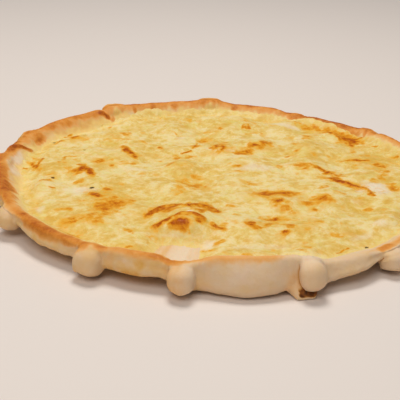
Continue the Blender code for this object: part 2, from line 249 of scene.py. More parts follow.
# Drifts sideways: reach, size, and the seeds of its two directions
EDGE_DRIFT = ((0.9 * MM, 5 * MM, (86, 87)), (0.4 * MM, 2 * MM, (88, 89)))
MARK_DRIFT = ((1.4 * MM, 7 * MM, (71, 72)), (0.6 * MM, 2.6 * MM, (73, 74)))
STRAND_DRIFT = ((5 * MM, 15 * MM, (51, 52)), (1.3 * MM, 5 * MM, (53, 54)))
STRAND_RIDGES = ((0.5, 6.5 * MM, 61), (0.25, 3.2 * MM, 62))  # strength, size, seed
STRAND_SHARPNESS = 2.6
STRAND_LUMPS = ((0.6, 8 * MM, 63, 3),)
STRAND_HEIGHT = 0.26 * MM
CHEESE_BUMPS = ((0.10 * MM, 2.4 * MM, 90, 1),)
BROWNED_BUMPS = ((0.3 * MM, 3 * MM, 91, 1),)  # only as far as it is browned
EDGE_BAND = 2.5 * MM  # way in over which this relief comes in, and the edge's tint goes
# Pinholes: x, y and radius in mm
PINHOLES = ((-72, -31, 1.2), (-97, -13.5, 0.9), (-84, 33, 0.8), (-107, 53.5, 0.9), (75.5, -95.5, 0.9))
PINHOLE_DEPTH = 0.9 * MM

# ---------------------------------------------------------------- Baking: where the dough is browned
# Round the rim, at each pinch and for the stretch after it: how far the brown reaches in from the crest
# and out over the wall, in mm, how dark it is, how dark the line on the crest itself is, and how
# golden the plain dough is
PINCH_BAKES = (
    (4, 2, 0.50, 0.2, 0.55),
    (3, 1.5, 0.30, 0.1, 0.55),
    (3, 2, 0.30, 0.1, 0.45),
    (2, 1.5, 0.05, 0.0, 0.20),
    (3, 2, 0.25, 0.1, 0.30),
    (3, 2, 0.34, 0.3, 0.40),
    (3, 2, 0.40, 0.4, 0.45),
    (4, 2, 0.55, 0.7, 0.60),
    (5, 2, 0.55, 0.7, 0.75),
    (7, 2, 0.52, 0.5, 0.85),
    (6, 2, 0.52, 0.4, 1.00),
    (6, 3, 0.50, 0.4, 1.00),
    (4.5, 3, 0.50, 0.4, 0.45),
)
STRETCH_BAKES = (
    (5, 6, 0.62, 0.1, 0.60),
    (3, 4, 0.32, 0.25, 0.92),
    (3, 4.5, 0.19, 0.05, 0.18),
    (2, 2, 0.06, 0.0, 0.25),
    (3, 3, 0.35, 0.2, 0.30),
    (4, 3, 0.42, 0.4, 0.40),
    (4, 3, 0.48, 0.5, 0.45),
    (5, 3, 0.66, 0.9, 0.80),
    (7, 3, 0.55, 0.7, 0.80),
    (8, 3, 0.54, 0.5, 0.90),
    (8, 3, 0.50, 0.4, 1.25),
    (5.5, 4, 0.54, 0.4, 0.70),
    (7, 7, 0.66, 0.4, 0.60),
)
BAKE_DIPS = (0.8, 0.8, 0.8, 0.8, 0.9)  # as DIPS, for these five
BAND_FADE = (1.5, 0.1)  # of the brown's edges, in reaches from the crest
CREST_LINE = (0.5 * MM, 1.5 * MM)  # the line on the crest: its way out from there, and its half-width
FINGERS = ((1.0, 0.22, 4.6 * MM, 41), (0.5, 0.40, 2 * MM, 42))  # strength, squeeze, size and seed
PATCHES = ((1, 9 * MM, 43, 3),)
# How much the fingers and the patches change the brown's edges, its strength and the edges of marks
FINGERS_AND_PATCHES = ((0.5, 0.3), (0.3, 0.4), (0.3, 0.45))
OUTER_CALM = 0.7  # share of the raggedness that the brown has out over the wall
BAND_RANGE = (0.3, 1.4)  # least and most that its strength is changed by
LINE_FINGERS = (0.8, 0.4)  # the line's strength, and how much the fingers change it
DARKEST_LINE = 0.9
GOLDEN_PATCHES = 0.5  # how much the patches change the gold of plain dough
GOLDEN_RANGE = (0.3, 1.5)

# Browned marks, and on the dough a few of painted shade: the middle, then length and width in mm, the turn in
# degrees and how dark.
# On the cheese the middle is x, y; on the dough it is the angle round the rim and the way from the
# crest along the section, inwards negative
Mark = namedtuple("Mark", "u v length width turn strength")
MARK_FADE = (1.55, 0.45)  # of their edges, in half sizes
DOUGH_MARKS_AND_SHADE = [Mark(*row) for row in (
    # Front: dark spots by one knob, a band towards the next, a spot by the last knob
    (-119.0, 1.5, 7, 6, 0, 0.55), (-116, 1.0, 7, 5, 0, 0.50), (-106, 0.5, 18, 4, 0, 0.25),
    (-101, 0.8, 13, 4.5, 0, 0.50), (-88, 2, 26, 6, 0, 0.10), (-80, 1, 14, 5, 0, 0.12),
    (-51, 0.5, 7, 5, 0, 0.50), (-98.2, 8, 4, 14, 0, 0.16), (-120, 6, 4, 9, 0, 0.14),
    # Warmer knobs
    (-117.7, 8, 12, 14, 0, 0.09), (-71.5, 8, 10, 14, 0, 0.07), (-147, 8, 12, 14, 0, 0.09),
    # Front: painted shade, brownish, in hollows beside the knobs
    (-93.2, 12, 8, 13, 0, 0.09), (-75.4, 15, 8, 12, 0, 0.15), (-113.4, 6, 5, 9, 0, 0.12),
    # Front left: a deep orange crest, darkest by the knobs
    (-134, 1, 26, 9, 0, 0.40), (-124, 1, 14, 6, 0, 0.45), (-142, -1, 9, 6, 0, 0.45),
    # Left: the bubble's back edge, and the deep orange of the crest before it
    (170.8, -0.8, 13, 5, 0, 0.60), (168.2, -2.8, 10, 4, 41, 0.80), (166.3, -7, 10, 3.4, 53, 0.80),
    (179, -1, 10, 4, 0, 0.35), (-170, -3, 24, 7, 0, 0.40), (-160, -4, 26, 9, 0, 0.62),
    # Back left: soft patches on the wide bank, and the dark smear in the notch
    (156, -6, 12, 6, 0, 0.40), (158, -9, 10, 4, 0, 0.45), (149, -3, 12, 5, 0, 0.45),
    (143, -5, 11, 7, 20, 0.40), (138, -3, 8, 4, 0, 0.35), (133, -3, 16, 5, 0, 0.30),
    (129, -4, 6, 4, 0, 0.65), (127.6, -7, 4, 5, 40, 0.85), (126, -10, 4, 4, 0, 0.50),
    # Back: single fingers and spots
    (117.5, -5, 4, 8, 0, 0.55), (111, -4, 4, 6, 0, 0.40), (104, -4, 5, 5, 0, 0.40),
    (93, -3, 13, 3.5, 0, 0.40), (84, -4, 5, 6, 0, 0.60), (79, -2, 10, 3, 0, 0.35), (41, -6, 8, 5, 10, 0.50),
    (37, -4, 8, 2, 60, 0.45), (58, -3, 30, 6, 0, 0.50), (47, -4, 26, 7, 0, 0.50),
)]
# Paler dough: stretched skins and thin places, and painted highlights on three knobs' faces
PALE_DOUGH_AND_HIGHLIGHTS = [Mark(*row) for row in (
    (173.5, -7, 18, 9, 0, 1.0), (-178, -11, 16, 8, 0, 0.8), (152, -9, 8, 4, 0, 0.3),
    (118, -8, 12, 5, 0, 0.7), (107, -8, 24, 5, 0, 0.5), (97, -8, 12, 5, 0, 0.5), (78, -6, 14, 4, 0, 0.4),
    # The bare patch's dough, then painted highlights on the knobs
    (-101.5, -22, 22, 26, 0, 0.9), (-96.3, 9, 5, 11, 0, 0.6), (-116.6, 8, 5, 9, 0, 0.4),
    (-71.0, 4, 9, 9, 0, 0.4),
)]
CHEESE_MARKS = [Mark(*row) for row in (
    # Left
    (-111, 4, 11, 2, -67, 0.9), (-112, 18, 14, 3, -54, 0.25), (-99, -21, 12, 4, 72, 0.5),
    (-99, -10, 3, 2, 53, 0.4), (-94, -35, 4, 2, 30, 0.45), (-94, 59, 5, 12, 25, 0.6),
    (-103, 51, 4, 6, 52, 0.5), (-94, 8, 7, 5, 69, 0.3), (-73, 12, 5, 6, -23, 0.45),
    (-56, 30, 15, 3, -61, 0.95), (-64, 6, 3, 3, 16, 0.5), (-82, -4, 7, 3, 52, 0.85),
    (-77, -6, 11, 2, -60, 0.95), (-70, -41, 7, 3, -32, 0.75), (-62, -33, 4, 4, -14, 0.5),
    (-77, -50, 9, 4, -30, 0.2), (-59, -45, 14, 4, 4, 0.30), (-59, -52, 13, 4, 15, 0.34),
    (-61, -62, 8, 10, 9, 0.45), (-59, -55, 7, 4, 18, 0.34), (-77, -79, 7, 4, 13, 0.6),
    (-67, -74, 5, 3, 38, 0.5), (-63, -81, 6, 3, -2, 0.6), (-75, -95, 6, 10, 39, 0.4),
    # Middle and back
    (3, 82, 4, 5, -7, 0.35), (-36, 43, 3, 5, -5, 0.55), (-14, 43, 5, 5, -51, 0.55), (-9, 63, 5, 3, -7, 0.6),
    (2, 45, 5, 8, 30, 0.6), (19, 39, 5, 4, 42, 0.6), (15, 35, 5, 3, 16, 0.75), (-19, 26, 12, 3, 27, 0.25),
    (-30, 7, 8, 2, 57, 0.35), (-21, 7, 8, 7, -3, 0.2), (-20, -13, 10, 13, -20, 0.25),
    (-11, -20, 13, 11, 38, 0.4), (21, 86, 5, 4, 25, 0.3),
    # Right
    (25, 49, 4, 3, 25, 0.7), (33, 55, 8, 5, 35, 0.45), (12, 10, 5, 4, 3, 0.4), (51, 40, 3, 5, -4, 0.45),
    (49, 13, 3, 5, -15, 0.4), (49, 4, 2, 3, -1, 0.35), (67, 7, 19, 4, -29, 0.55),
    (76, -13, 22, 4, -37, 0.85), (72, -7, 11, 3, -58, 0.5), (18, -16, 10, 6, -12, 0.25),
    (26, -33, 9, 5, -28, 0.6), (35, -31, 8, 5, 5, 0.7), (33, -46, 5, 4, -18, 0.75),
    (42, -30, 7, 3, 9, 0.45), (53, -43, 5, 4, 7, 0.5), (60, -41, 5, 5, 16, 0.6), (53, -52, 3, 3, -16, 0.4),
    (54, -73, 6, 4, -64, 0.4), (47, -82, 3, 3, -10, 0.4), (40, -58, 4, 3, 6, 0.4), (30, -65, 8, 3, 9, 0.65),
    (27, -77, 7, 4, 53, 0.6), (35, -86, 5, 2, 5, 0.6), (17, -80, 6, 6, -39, 0.65), (91, 71, 11, 7, -59, 1),
    (88, 62, 7, 4, -56, 0.6), (87, 27, 17, 3, -14, 0.45), (101, 18, 5, 9, 14, 0.55),
    (114, 35, 6, 2, -42, 0.5), (98, -3, 5, 3, 19, 0.45), (104, -19, 6, 8, 4, 0.45),
    (45, -103, 10, 3, -69, 0.3),
    # The blister: brown under its outer and inner folds, its crown, and the side on its right
    (-31, -62, 5, 6, 28, 1), (-25, -61, 4, 5, -13, 0.75), (-36, -68, 5, 2, 59, 0.7),
    (-14, -61, 4, 3, 38, 0.7), (-7, -58, 4, 5, -16, 0.9), (-10, -67, 3, 3, -18, 0.4),
    (-3, -62, 4, 4, -9, 0.45), (-31, -85, 5, 2, 30, 0.8), (-27, -81, 5, 3, 27, 0.9),
    (-20, -77, 4, 3, 17, 0.6), (-12, -76, 4, 3, -35, 0.7), (-9, -79, 3, 2, -39, 0.75),
    (-9, -82, 2, 2, 32, 0.6), (-20, -84, 4, 4, -8, 1), (-18, -86, 3, 2, 11, 0.9), (-23, -86, 3, 2, 11, 0.7),
    (-16, -84, 3, 2, -52, 0.5), (-1, -83, 5, 2, -41, 0.6), (0, -85, 4, 2, 54, 0.35),
    (-5, -85, 4, 2, -41, 0.3), (-6, -105, 8, 2, -33, 0.35), (-45, -107, 4, 2, 33, 0.4),
    # Broad faint orange places
    (32, -36, 26, 12, 6, 0.22), (-60, -55, 20, 26, 10, 0.20), (56, -45, 18, 10, 8, 0.20),
    (-80, -84, 26, 20, 20, 0.12), (12, 40, 40, 10, 20, 0.14), (-24, -62, 34, 16, 10, 0.16),
    (80, 84, 30, 9, -46, 0.34), (58, 100, 34, 8, -30, 0.22), (88, 34, 26, 12, -14, 0.12),
    (-64, 20, 24, 24, -50, 0.10), (36, -70, 26, 16, 20, 0.14),
)]
# The faint halo round a mark: how much longer and wider it is, by a share and by mm, and its strength
HALO_GROWTH, HALO_MARGIN, HALO = 1.8, 2, 0.32
# Thin browned lines and raised folds: their points, half-width, how dark and how high, in mm
Stroke = namedtuple("Stroke", "points width strength rise")
STROKES = [Stroke(*row) for row in (
    # Back and left
    (((-121, 2), (-120, 7), (-118, 5), (-116, 4)), 0.9, 0.55, 0),
    (((-110, 4), (-109, 8), (-108, 15)), 0.9, 0.65, 0),
    (((-105, 47), (-102, 52)), 0.9, 0.5, 0),
    (((-101, 61), (-99, 68), (-95, 75), (-89, 82)), 0.9, 0.5, 0.25),
    (((-74, 55), (-72, 57), (-70, 55)), 0.8, 0.35, 0),
    (((-68, 59), (-64, 58), (-57, 55)), 0.8, 0.35, 0.1),
    (((-95, 14), (-94, 20), (-89, 22)), 0.9, 0.45, 0.15),
    (((-82, -6), (-81, -1), (-79, 0), (-76, -4), (-74, -11)), 1.3, 0.55, 0.4),
    (((-61, 43), (-57, 34), (-52, 24)), 1.2, 0.5, 0.3),
    (((-40, 104), (-39, 112), (-36, 103)), 0.8, 0.35, 0),
    (((-30, 71), (-28, 70), (-26, 67)), 0.8, 0.4, 0),
    (((-23, 30), (-20, 32), (-16, 34)), 0.8, 0.65, 0),
    (((-15, 38), (-14, 47), (-12, 57)), 0.9, 0.4, 0),
    (((-5, 40), (-1, 41), (0, 47), (3, 49), (4, 43), (3, 39)), 0.9, 0.6, 0),
    (((18, 84), (19, 89), (22, 91), (23, 85)), 0.8, 0.4, 0),
    (((19, 76), (27, 80)), 0.8, 0.35, 0),
    (((12, 34), (15, 34), (19, 36)), 0.8, 0.6, 0),
    (((23, 47), (25, 50), (27, 49)), 0.9, 0.5, 0),
    (((73, 84), (78, 83), (81, 76), (83, 71)), 1.0, 0.6, 0.3),
    (((84, 75), (89, 69), (95, 73), (99, 74)), 1.0, 0.6, 0.3),
    (((103, 58), (106, 56)), 0.9, 0.45, 0),
    # Right
    (((58, 9), (67, 8), (75, -3)), 1.0, 0.5, 0.35),
    (((78, 28), (83, 29), (90, 25), (96, 27)), 0.9, 0.4, 0.1),
    (((67, -5), (75, -12), (82, -18), (86, -21), (89, -31)), 1.1, 0.6, 0.55),
    (((23, -35), (28, -32), (33, -30), (41, -30)), 0.9, 0.35, 0.1),
    (((59, -106), (63, -103), (66, -99)), 0.8, 0.6, 0),
    (((26, -68), (30, -65), (35, -65)), 0.8, 0.4, 0),
    # The blister's folds
    (((-38, -71), (-37, -67), (-35, -64), (-33, -60), (-30, -56), (-25, -56), (-21, -60),
      (-17, -62)), 1.3, 0.75, 0.75),
    (((-16, -61), (-12, -58), (-8, -57), (-5, -57), (-2, -58), (0, -61)), 1.3, 0.6, 0.6),
    (((-34, -85), (-30, -83), (-26, -79), (-23, -78), (-20, -75), (-17, -75), (-14, -74),
      (-11, -75), (-8, -77), (-7, -80)), 1.3, 0.55, 0.65),
    (((-25, -86), (-22, -85), (-20, -83)), 1.2, 0.4, 0.35),
    (((-3, -80), (-1, -83), (1, -85)), 1.1, 0.5, 0.4),
    (((-15, -80), (-13, -84), (-12, -88)), 1.1, 0.15, 0.4),
)]
# A fold across the bank on the left, round a bubble: its middle, then points as mm round the rim and mm
# from the crest, half-width, how dark and how high
FOLD_ANGLE = 168
BUBBLE_FOLD = Stroke(((8, 0.5), (3.2, 0), (1.6, -1.8), (-1.1, -3.6), (-3.2, -6), (-4.5, -8.8), (-6.4, -10.2)),
                     1.5, 0, 0.9)
FAINT_MARKS = 170  # small pale golden marks spread by chance
FAINT_DISC = 116  # mm, the radius that they are spread over
FAINT_SIZES = (2.5, 9)  # mm
FAINT_STRENGTHS = (0.08, 0.34)
MARK_SEED = 21
MARK_RAG = ((0.45, 4 * MM, 75, 3),)
STREAKS = ((0.8, 2.4 * MM, 76, 1),)  # fine streaks across the marks, along the strands
STREAK_MEAN, STREAK_STRANDS = 0.8, 0.5  # their average, and how much the strands themselves add
STREAK_RANGE = (0.15, 1.2)
STROKE_STREAKS = (0.35, 0.65)  # a stroke's own share of its strength, and the streaks' share
DARKEST_MARK = 0.98

# Pale, stretched places of the cheese, some of them painted highlights, and golden yellow ones, listed as the
# browned marks are
PALE_AND_HIGHLIGHT_MARKS = [Mark(*row) for row in (
    # Whitish: stretched cheese, some of them painted highlights where it would glint
    (92, -19, 18, 16, -9, 1), (23, 9, 20, 10, 13, 0.6), (-79, -35, 15, 10, 7, 0.7),
    (-96, -62, 4, 7, 6, 0.8), (86, -71, 7, 6, -5, 0.6), (-6, -99, 11, 8, 16, 0.9),
    (47, 97, 21, 8, -36, 0.6), (-106, 58, 5, 2, 43, 0.8), (-27, -67, 8, 4, -23, 0.6),
    (-15, -71, 3, 2, 30, 0.9), (-125, 11, 13, 4, 66, 0.7), (-78, -8, 3, 4, 30, 0.8),
    (3, 39, 19, 4, -3, 0.5), (-24, 63, 7, 3, 20, 0.6), (-50, 2, 18, 8, -4, 0.3), (23, -101, 37, 5, 15, 0.3),
    (74, -85, 15, 5, 33, 0.4), (-21, -91, 28, 2, -2, 0.35),
)]
GOLDEN_MARKS = [Mark(*row) for row in (
    # Golden yellow
    (-108, -36, 28, 4, -63, 0.7), (-90, 9, 16, 13, -31, 0.6), (-61, -53, 13, 12, 40, 0.6),
    (67, 91, 22, 10, -43, 0.6), (-13, -92, 6, 3, -4, 0.7), (2, -80, 7, 4, -55, 0.6),
    (46, -99, 16, 7, -61, 0.5), (101, -12, 16, 8, -59, 0.6), (78, 27, 15, 9, 26, 0.4),
    (30, -37, 35, 15, 8, 0.3), (-61, -82, 11, 6, 40, 0.5), (-78, -80, 13, 5, -32, 0.5),
    (-47, -114, 13, 18, -9, 0.5), (-17, -18, 24, 12, -53, 0.35), (78, -46, 15, 9, -22, 0.4),
    (16, 101, 27, 7, 53, 0.5), (-104, 27, 21, 7, -52, 0.4), (31, -74, 11, 9, -46, 0.4),
)]
PATCH_RAG = ((0.4, 6 * MM, 95, 3),)


# ---------------------------------------------------------------- Small tools
def ease(x, zero=0, one=1):
    """Smooth step 3t^2 - 2t^3, where t goes from 0 to 1 while x goes from one value to the other."""
    t = np.clip((x - zero) / (one - zero), 0, 1)
    return t * t * (3 - 2 * t)


def hump(x, half_width):
    """1 where x is 0, falling away over a half-width: exp(-(x / half-width)^2)."""
    return np.exp(-((x / half_width) ** 2))


def degrees_from(phi, angle):
    """How far phi, in radians, lies from an angle in degrees: -180 to 180, anticlockwise positive."""
    return (np.degrees(phi) - angle + 180) % 360 - 180


def bell(phi, angle, half_width):
    """1 at an angle, falling away over a half-width, both in degrees; phi is in radians."""
    return hump(degrees_from(phi, angle), half_width)


def polar(radius, phi, height):
    """Points at a radius, an angle and a height."""
    return np.stack([radius * np.cos(phi), radius * np.sin(phi), height], axis=-1)


def noise(points, size, seed):
    """Gradient noise, about -1 to 1. Each corner of a cubic lattice has a random slope; between corners
    the slopes' values are blended by 6t^5 - 15t^4 + 10t^3."""
    draw = np.random.default_rng(seed)
    order = draw.permutation(256)
    slopes = draw.normal(size=(256, 3))
    slopes /= np.linalg.norm(slopes, axis=1)[:, None]
    cells = points / size + NOISE_START
    corner = np.floor(cells).astype(np.int64)
    inside = cells - corner
    blend = inside**3 * (inside * (inside * 6 - 15) + 10)
    total = np.zeros(points.shape[:-1])
    for step in np.ndindex(2, 2, 2):
        at = (corner + step) & 255
        key = order[(order[(order[at[..., 0]] + at[..., 1]) & 255] + at[..., 2]) & 255]
        weight = np.where(step, blend, 1 - blend).prod(-1)
        total += weight * (slopes[key] * (inside - step)).sum(-1)
    return NOISE_GAIN * total


def rough(points, size, seed, layers):
    """Layers of noise, each half the size and half the height of the one before."""
    return sum(noise(points, size / 2**i, seed + i) / 2**i for i in range(layers))


def uneven(points, noises):
    """The sum of rough noises, each given as its strength, size, seed and number of layers."""
    return sum(strength * rough(points, *kind) for strength, *kind in noises)


def ridged(points, size, seed, sharpness):
    """Ridges of height 1 where noise crosses zero, falling on both sides as sharply as given."""
    return 1 - sharpness * np.abs(noise(points, size, seed))


def drifted(flat, drifts):
    """Flat points shifted sideways by noises, so that what is drawn on them looks pulled and run
    together."""
    shift = np.zeros_like(flat)
    for reach, size, seeds in drifts:
        for axis, seed in enumerate(seeds):
            shift[..., axis] += reach * noise(flat, size, seed)
    return flat + shift


def in_mark(mark, u, v, rag):
    """A mark's strength inside a ragged ellipse: the turned offsets from its middle, over its half sizes,
    give a distance, the rag is added, and a smooth step falls from the middle to the edge."""
    turn = np.radians(mark.turn)
    du = u - mark.u * MM
    dv = v - mark.v * MM
    along = (du * np.cos(turn) + dv * np.sin(turn)) / (mark.length * MM / 2)
    sideways = (dv * np.cos(turn) - du * np.sin(turn)) / (mark.width * MM / 2)
    return mark.strength * ease(np.hypot(along, sideways) + rag, *MARK_FADE)


def through(points, steps):
    """Catmull-Rom curve through the points: so many samples from each to the next, then the last point."""
    padded = np.concatenate([2 * points[:1] - points[1:2], points, 2 * points[-1:] - points[-2:-1]])
    samples = []
    for a, b, c, d, count in zip(padded, padded[1:], padded[2:], padded[3:], steps):
        for t in np.arange(count) / count:
            bend = (2 * a - 5 * b + 4 * c - d) * t + (3 * b - a - 3 * c + d) * t * t
            samples.append(b + 0.5 * t * (c - a + bend))
    samples.append(points[-1])
    return np.array(samples)


def along_stroke(x, y, stroke):
    """1 on a smooth line through the stroke's points, falling away over its half-width."""
    line = through(np.array(stroke.points, float) * MM, (STROKE_STEPS,) * (len(stroke.points) - 1))
    nearest = np.full_like(x, np.inf)
    for (ax, ay), (bx, by) in zip(line, line[1:]):
        step = np.array([bx - ax, by - ay])
        share = np.clip(((x - ax) * step[0] + (y - ay) * step[1]) / (step @ step), 0, 1)
        nearest = np.minimum(nearest, (x - ax - share * step[0]) ** 2 + (y - ay - share * step[1]) ** 2)
    return np.exp(-nearest / (stroke.width * MM) ** 2)


# ---------------------------------------------------------------- Form of the rim
def round_the_rim(phi, at_pinch, at_stretch, dip):
    """A value given at each pinch and for the stretch after it. Around a pinch it eases from one to the
    other within `dip` of half a stretch; phi is in radians."""
    pinch = np.array([row.angle for row in PINCHES], float)
    degrees = (np.degrees(phi) - pinch[0]) % 360 + pinch[0]
    start = np.searchsorted(pinch, degrees, side="right") - 1
    end = (start + 1) % len(pinch)
    length = (pinch[end] - pinch[start]) % 360
    along = (degrees - pinch[start]) / length
    nearest = np.where(along < 0.5, start, end)
    away = ease(2 * np.minimum(along, 1 - along) / dip)
    return at_pinch[nearest] + (at_stretch[start] - at_pinch[nearest]) * away


def torn(phi):
    """1 along the torn lip, with soft ends."""
    angle, half_width, _ = TORN_LIP
    return ease(np.abs(degrees_from(phi, angle)) / half_width, *TORN_FADE)


def crest_radius(phi):
    """Centre to crest: a circle with slow waves, R (1 + sum a cos n (phi - phi0)), out at each pinch."""
    waves = sum(share * np.cos(n * (phi - np.radians(start))) for n, share, start in OUTLINE_WAVES)
    pinches = sum(bell(phi, row.angle, PINCH_SPREAD) for row in PINCHES)
    return CREST_RADIUS * (1 + waves) + PINCH_OUT * pinches


def rim_shape(phi):
    """At each angle: height of the crest, bulge of the wall past it, lift of its foot, and inset of the
    cheese's edge."""
    at_pinch = np.array([(row.crest, row.bulge, row.lift, row.inset) for row in PINCHES]).T * MM
    at_stretch = np.array(STRETCHES).T * MM
    crest, bulge, lift, inset = (round_the_rim(phi, *pair) for pair in zip(at_pinch, at_stretch, DIPS))
    for angle, half_width, depth in NOTCHES:
        crest = crest - depth * bell(phi, angle, half_width)
    angle, half_width, height = RAISED
    return crest, bulge, lift + height * bell(phi, angle, half_width), inset


def rim_section(phi):
    """Control points (radius, height) of the rim's section at each angle, from the dish to the underside.
    Along the torn lip, the foot and the point after it stick out at heights of their own."""
    crest = crest_radius(phi)
    top, bulge, lift, _ = rim_shape(phi)
    widest = crest + bulge
    rise = top - FLOOR
    wall = top - lift
    lip_half, lip_fall = LIP
    foot_in, foot_up = FOOT
    points = [(crest - inward, FLOOR + share * rise) for inward, share in BANK]
    points += [(crest, top), (crest + lip_half, top - lip_fall * rise)]
    points += [(crest + out * bulge, lift + up * wall) for out, up in WALL]
    points += [(widest - foot_in, lift + foot_up * wall)]
    points += [(widest - inward, share * lift) for inward, share in UNDERSIDE]
    lip = torn(phi)
    for i, height in zip((-1 - len(UNDERSIDE), -len(UNDERSIDE)), TORN_HEIGHTS):
        radius, plain = points[i]
        points[i] = (radius + (foot_in + TORN_LIP[2]) * lip, plain + (height - plain) * lip)
    return np.array(points)  # control point, (radius, height), angle


def column_angles(count):
    """Angles round the rim, crowded together at the knobs."""
    fine = np.linspace(0, 2 * np.pi, RIM_ANGLES)
    crowding = np.ones_like(fine)
    for row in PINCHES:
        half_width = np.degrees(CROWDING_SPREAD * row.knob_width * MM / CREST_RADIUS)
        crowding += COLUMN_CROWDING * bell(fine, row.angle, half_width)
    total = np.concatenate([[0], np.cumsum((crowding[1:] + crowding[:-1]) / 2)])
    return np.interp(np.arange(count) / count, total / total[-1], fine)


def leaving(start, along):
    """How far each line from an inner point goes until it leaves the knob's form, sum |p|^n = 1. The first
    guess is the ball round the form, of radius squared 3^(1 - 2/n). Newton's steps from there never pass
    the form, because it is convex."""
    a = (along**2).sum(-1)
    b = along @ start
    c = start @ start - 3 ** (1 - 2 / SQUARENESS)
    length = (-b + np.sqrt(b * b - a * c)) / a
    for _ in range(STEPS_OUT):
        place = start + along * length[..., None]
        steep = np.abs(place) ** (SQUARENESS - 1)
        outside = (steep * np.abs(place)).sum(-1) - 1
        length = length - outside / (SQUARENESS * (steep * np.sign(place) * along).sum(-1))
    return length


def seen_from_inside(points, lump):
    """Lines from a point inside the rim to the surface's points: that inner point, the lines, their
    lengths, how far off each line leaves a leaning, boxy egg of dough, and where it does, across the egg
    and up it, from -1 to 1."""
    angle = np.radians(lump.angle)
    out = np.array([np.cos(angle), np.sin(angle), 0])
    side = np.array([-out[1], out[0], 0])
    up = np.array([0, 0, 1.0])
    axis = (up - KNOB_LEAN * out) / np.hypot(1, KNOB_LEAN)
    crest, bulge, lift, _ = rim_shape(angle)
    wall = crest_radius(angle) + bulge
    reach, width, low, high = np.array([lump.reach, lump.width, lump.low, lump.high]) * MM
    half = np.array([reach + KNOB_ROOT, width, high - low]) / 2
    centre = out * (wall + reach - half[0]) + up * (low + high) / 2
    margin = INNER_MARGIN * (high - low)
    middle = np.clip((lift + crest) / 2, low + margin, high - margin)
    inside = out * (wall - INNER_DEPTH * KNOB_ROOT) + up * middle
    own_axes = np.array([np.cross(side, axis), side, axis]) / half[:, None]
    ray = points - inside
    far = np.linalg.norm(ray, axis=-1)
    along = ray @ own_axes.T / far[..., None]
    start = own_axes @ (inside - centre)
    surface = leaving(start, along)
    _, across_it, up_it = np.moveaxis(start + along * surface[..., None], -1, 0)
    return inside, ray, far, surface, across_it, up_it


def press_lump(points, lump, seam, grooves):
    """The surface with a lump of dough pressed out of it, and how dark its seam is painted at each point:
    browning, with painted shade in the crease. Seen from inside the rim, the surface lies at the farther of
    its own distance and the lump's. The fold between them is tight, with a groove of the given depth, on
    the clockwise side, wider on the other side and widest on top. Other grooves run up the lump."""
    inside, ray, far, surface, across_it, up_it = seen_from_inside(points, lump)
    on_top = ease(up_it, *CROWN_FADE)
    loose = ease(across_it, *LOOSE_FADE)
    fold = FOLDS[0] + (FOLDS[1] - FOLDS[0]) * loose
    fold = fold + (FOLDS[2] - fold) * on_top
    near = np.clip(1 - np.abs(surface - far) / fold, 0, None)
    farther = np.maximum(far, surface) + near**2 * fold / 4
    seam_width, depth, bake = seam
    tight = (1 - loose) * (1 - on_top) * hump(surface - far, seam_width * MM)
    farther = farther - depth * MM * tight
    # The tight crease is painted dark: browning, with painted shade
    browned = bake * tight
    pressed = ease(surface - far, 0, GROOVE_START) * ease(np.abs(across_it), *GROOVE_FADE)
    for place, half_width, groove_depth in grooves:
        groove = pressed * hump(across_it - place - GROOVE_LEAN * up_it, half_width)
        farther = farther - groove_depth * MM * groove
        browned = np.maximum(browned, GROOVE_BAKE * groove * (groove_depth > DEEP_GROOVE))
    return inside + ray * (farther / far)[..., None], browned


def press_knobs(points):
    """A knob at each pinch, from near the flat up to about the crest, and how dark the seams are painted at
    each point: browning, with painted shade in the creases."""
    seams = np.zeros(points.shape[:-1])
    for row in PINCHES:
        top = rim_shape(np.radians(row.angle))[0] / MM + KNOB_TOPS.get(row.angle, KNOB_TOP)
        knob = Lump(row.angle, row.knob_width, row.reach, row.knob_low, top)
        seam = SEAMS.get(row.angle, PLAIN_SEAM)
        points, browned = press_lump(points, knob, seam, KNOB_GROOVES.get(row.angle, PLAIN_GROOVES))
        seams = np.maximum(seams, browned)
    return points, seams


def bank_shares():
    """The upper side of the section, as distance in from the crest and share of the rise: it is the same
    curve at every angle."""
    lip_half, lip_fall = LIP
    controls = np.array([*BANK, (0, 1), (-lip_half, 1 - lip_fall)])
    return through(controls, (BANK_STEPS,) * (len(controls) - 1))


def bread_top(radius, phi):
    """Height of the bread's upper face, from the dish to the crest."""
    inward, share = bank_shares()[::-1].T
    rise = rim_shape(phi)[0] - FLOOR
    return FLOOR + rise * np.interp(crest_radius(phi) - radius, inward, share)


# ---------------------------------------------------------------- Skins
def across(grid, axis, closed):
    """Difference between the neighbours on both sides of each point of a grid, along one of its axes."""
    if closed:
        return np.roll(grid, -1, axis) - np.roll(grid, 1, axis)
    return np.gradient(grid, axis=axis)


def outward(points):
    """Unit normals of a skin of rings that run anticlockwise, the first ring innermost on top: the cross
    product of the differences along and across the rings."""
    normal = np.cross(across(points, 0, False), across(points, 1, True))
    return normal / np.maximum(np.linalg.norm(normal, axis=-1), 1e-12)[..., None]


def strip(first, second):
    """Quads between two closed loops of vertex numbers, facing out where the second lies outside or below."""
    return np.stack([first, second, np.roll(second, -1), np.roll(first, -1)], axis=-1)


def fan(pole, loop):
    """Triangles from a pole to a closed loop that runs anticlockwise seen from outside."""
    return np.stack([np.full_like(loop, pole), loop, np.roll(loop, -1)], axis=-1)


def add_piece(name, vertices, faces, marks, material, node):
    """A smooth mesh that stands for a CAD node. Its first vertices have the values in `marks`, and the ones
    that close it, out of sight, have 0."""
    mesh = bpy.data.meshes.new(name)
    mesh.from_pydata(vertices.tolist(), [], [face for group in faces for face in group.tolist()])
    mesh.shade_smooth()
    for mark, values in marks.items():
        attribute = mesh.attributes.new(mark, "FLOAT", "POINT")
        closing = np.zeros(len(vertices) - values.size)
        attribute.data.foreach_set("value", np.append(values, closing).astype(np.float32))
    mesh.materials.append(material)
    piece = bpy.data.objects.new(name, mesh)
    bpy.context.scene.collection.objects.link(piece)
    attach(piece, "root")
    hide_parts(node)
    return piece


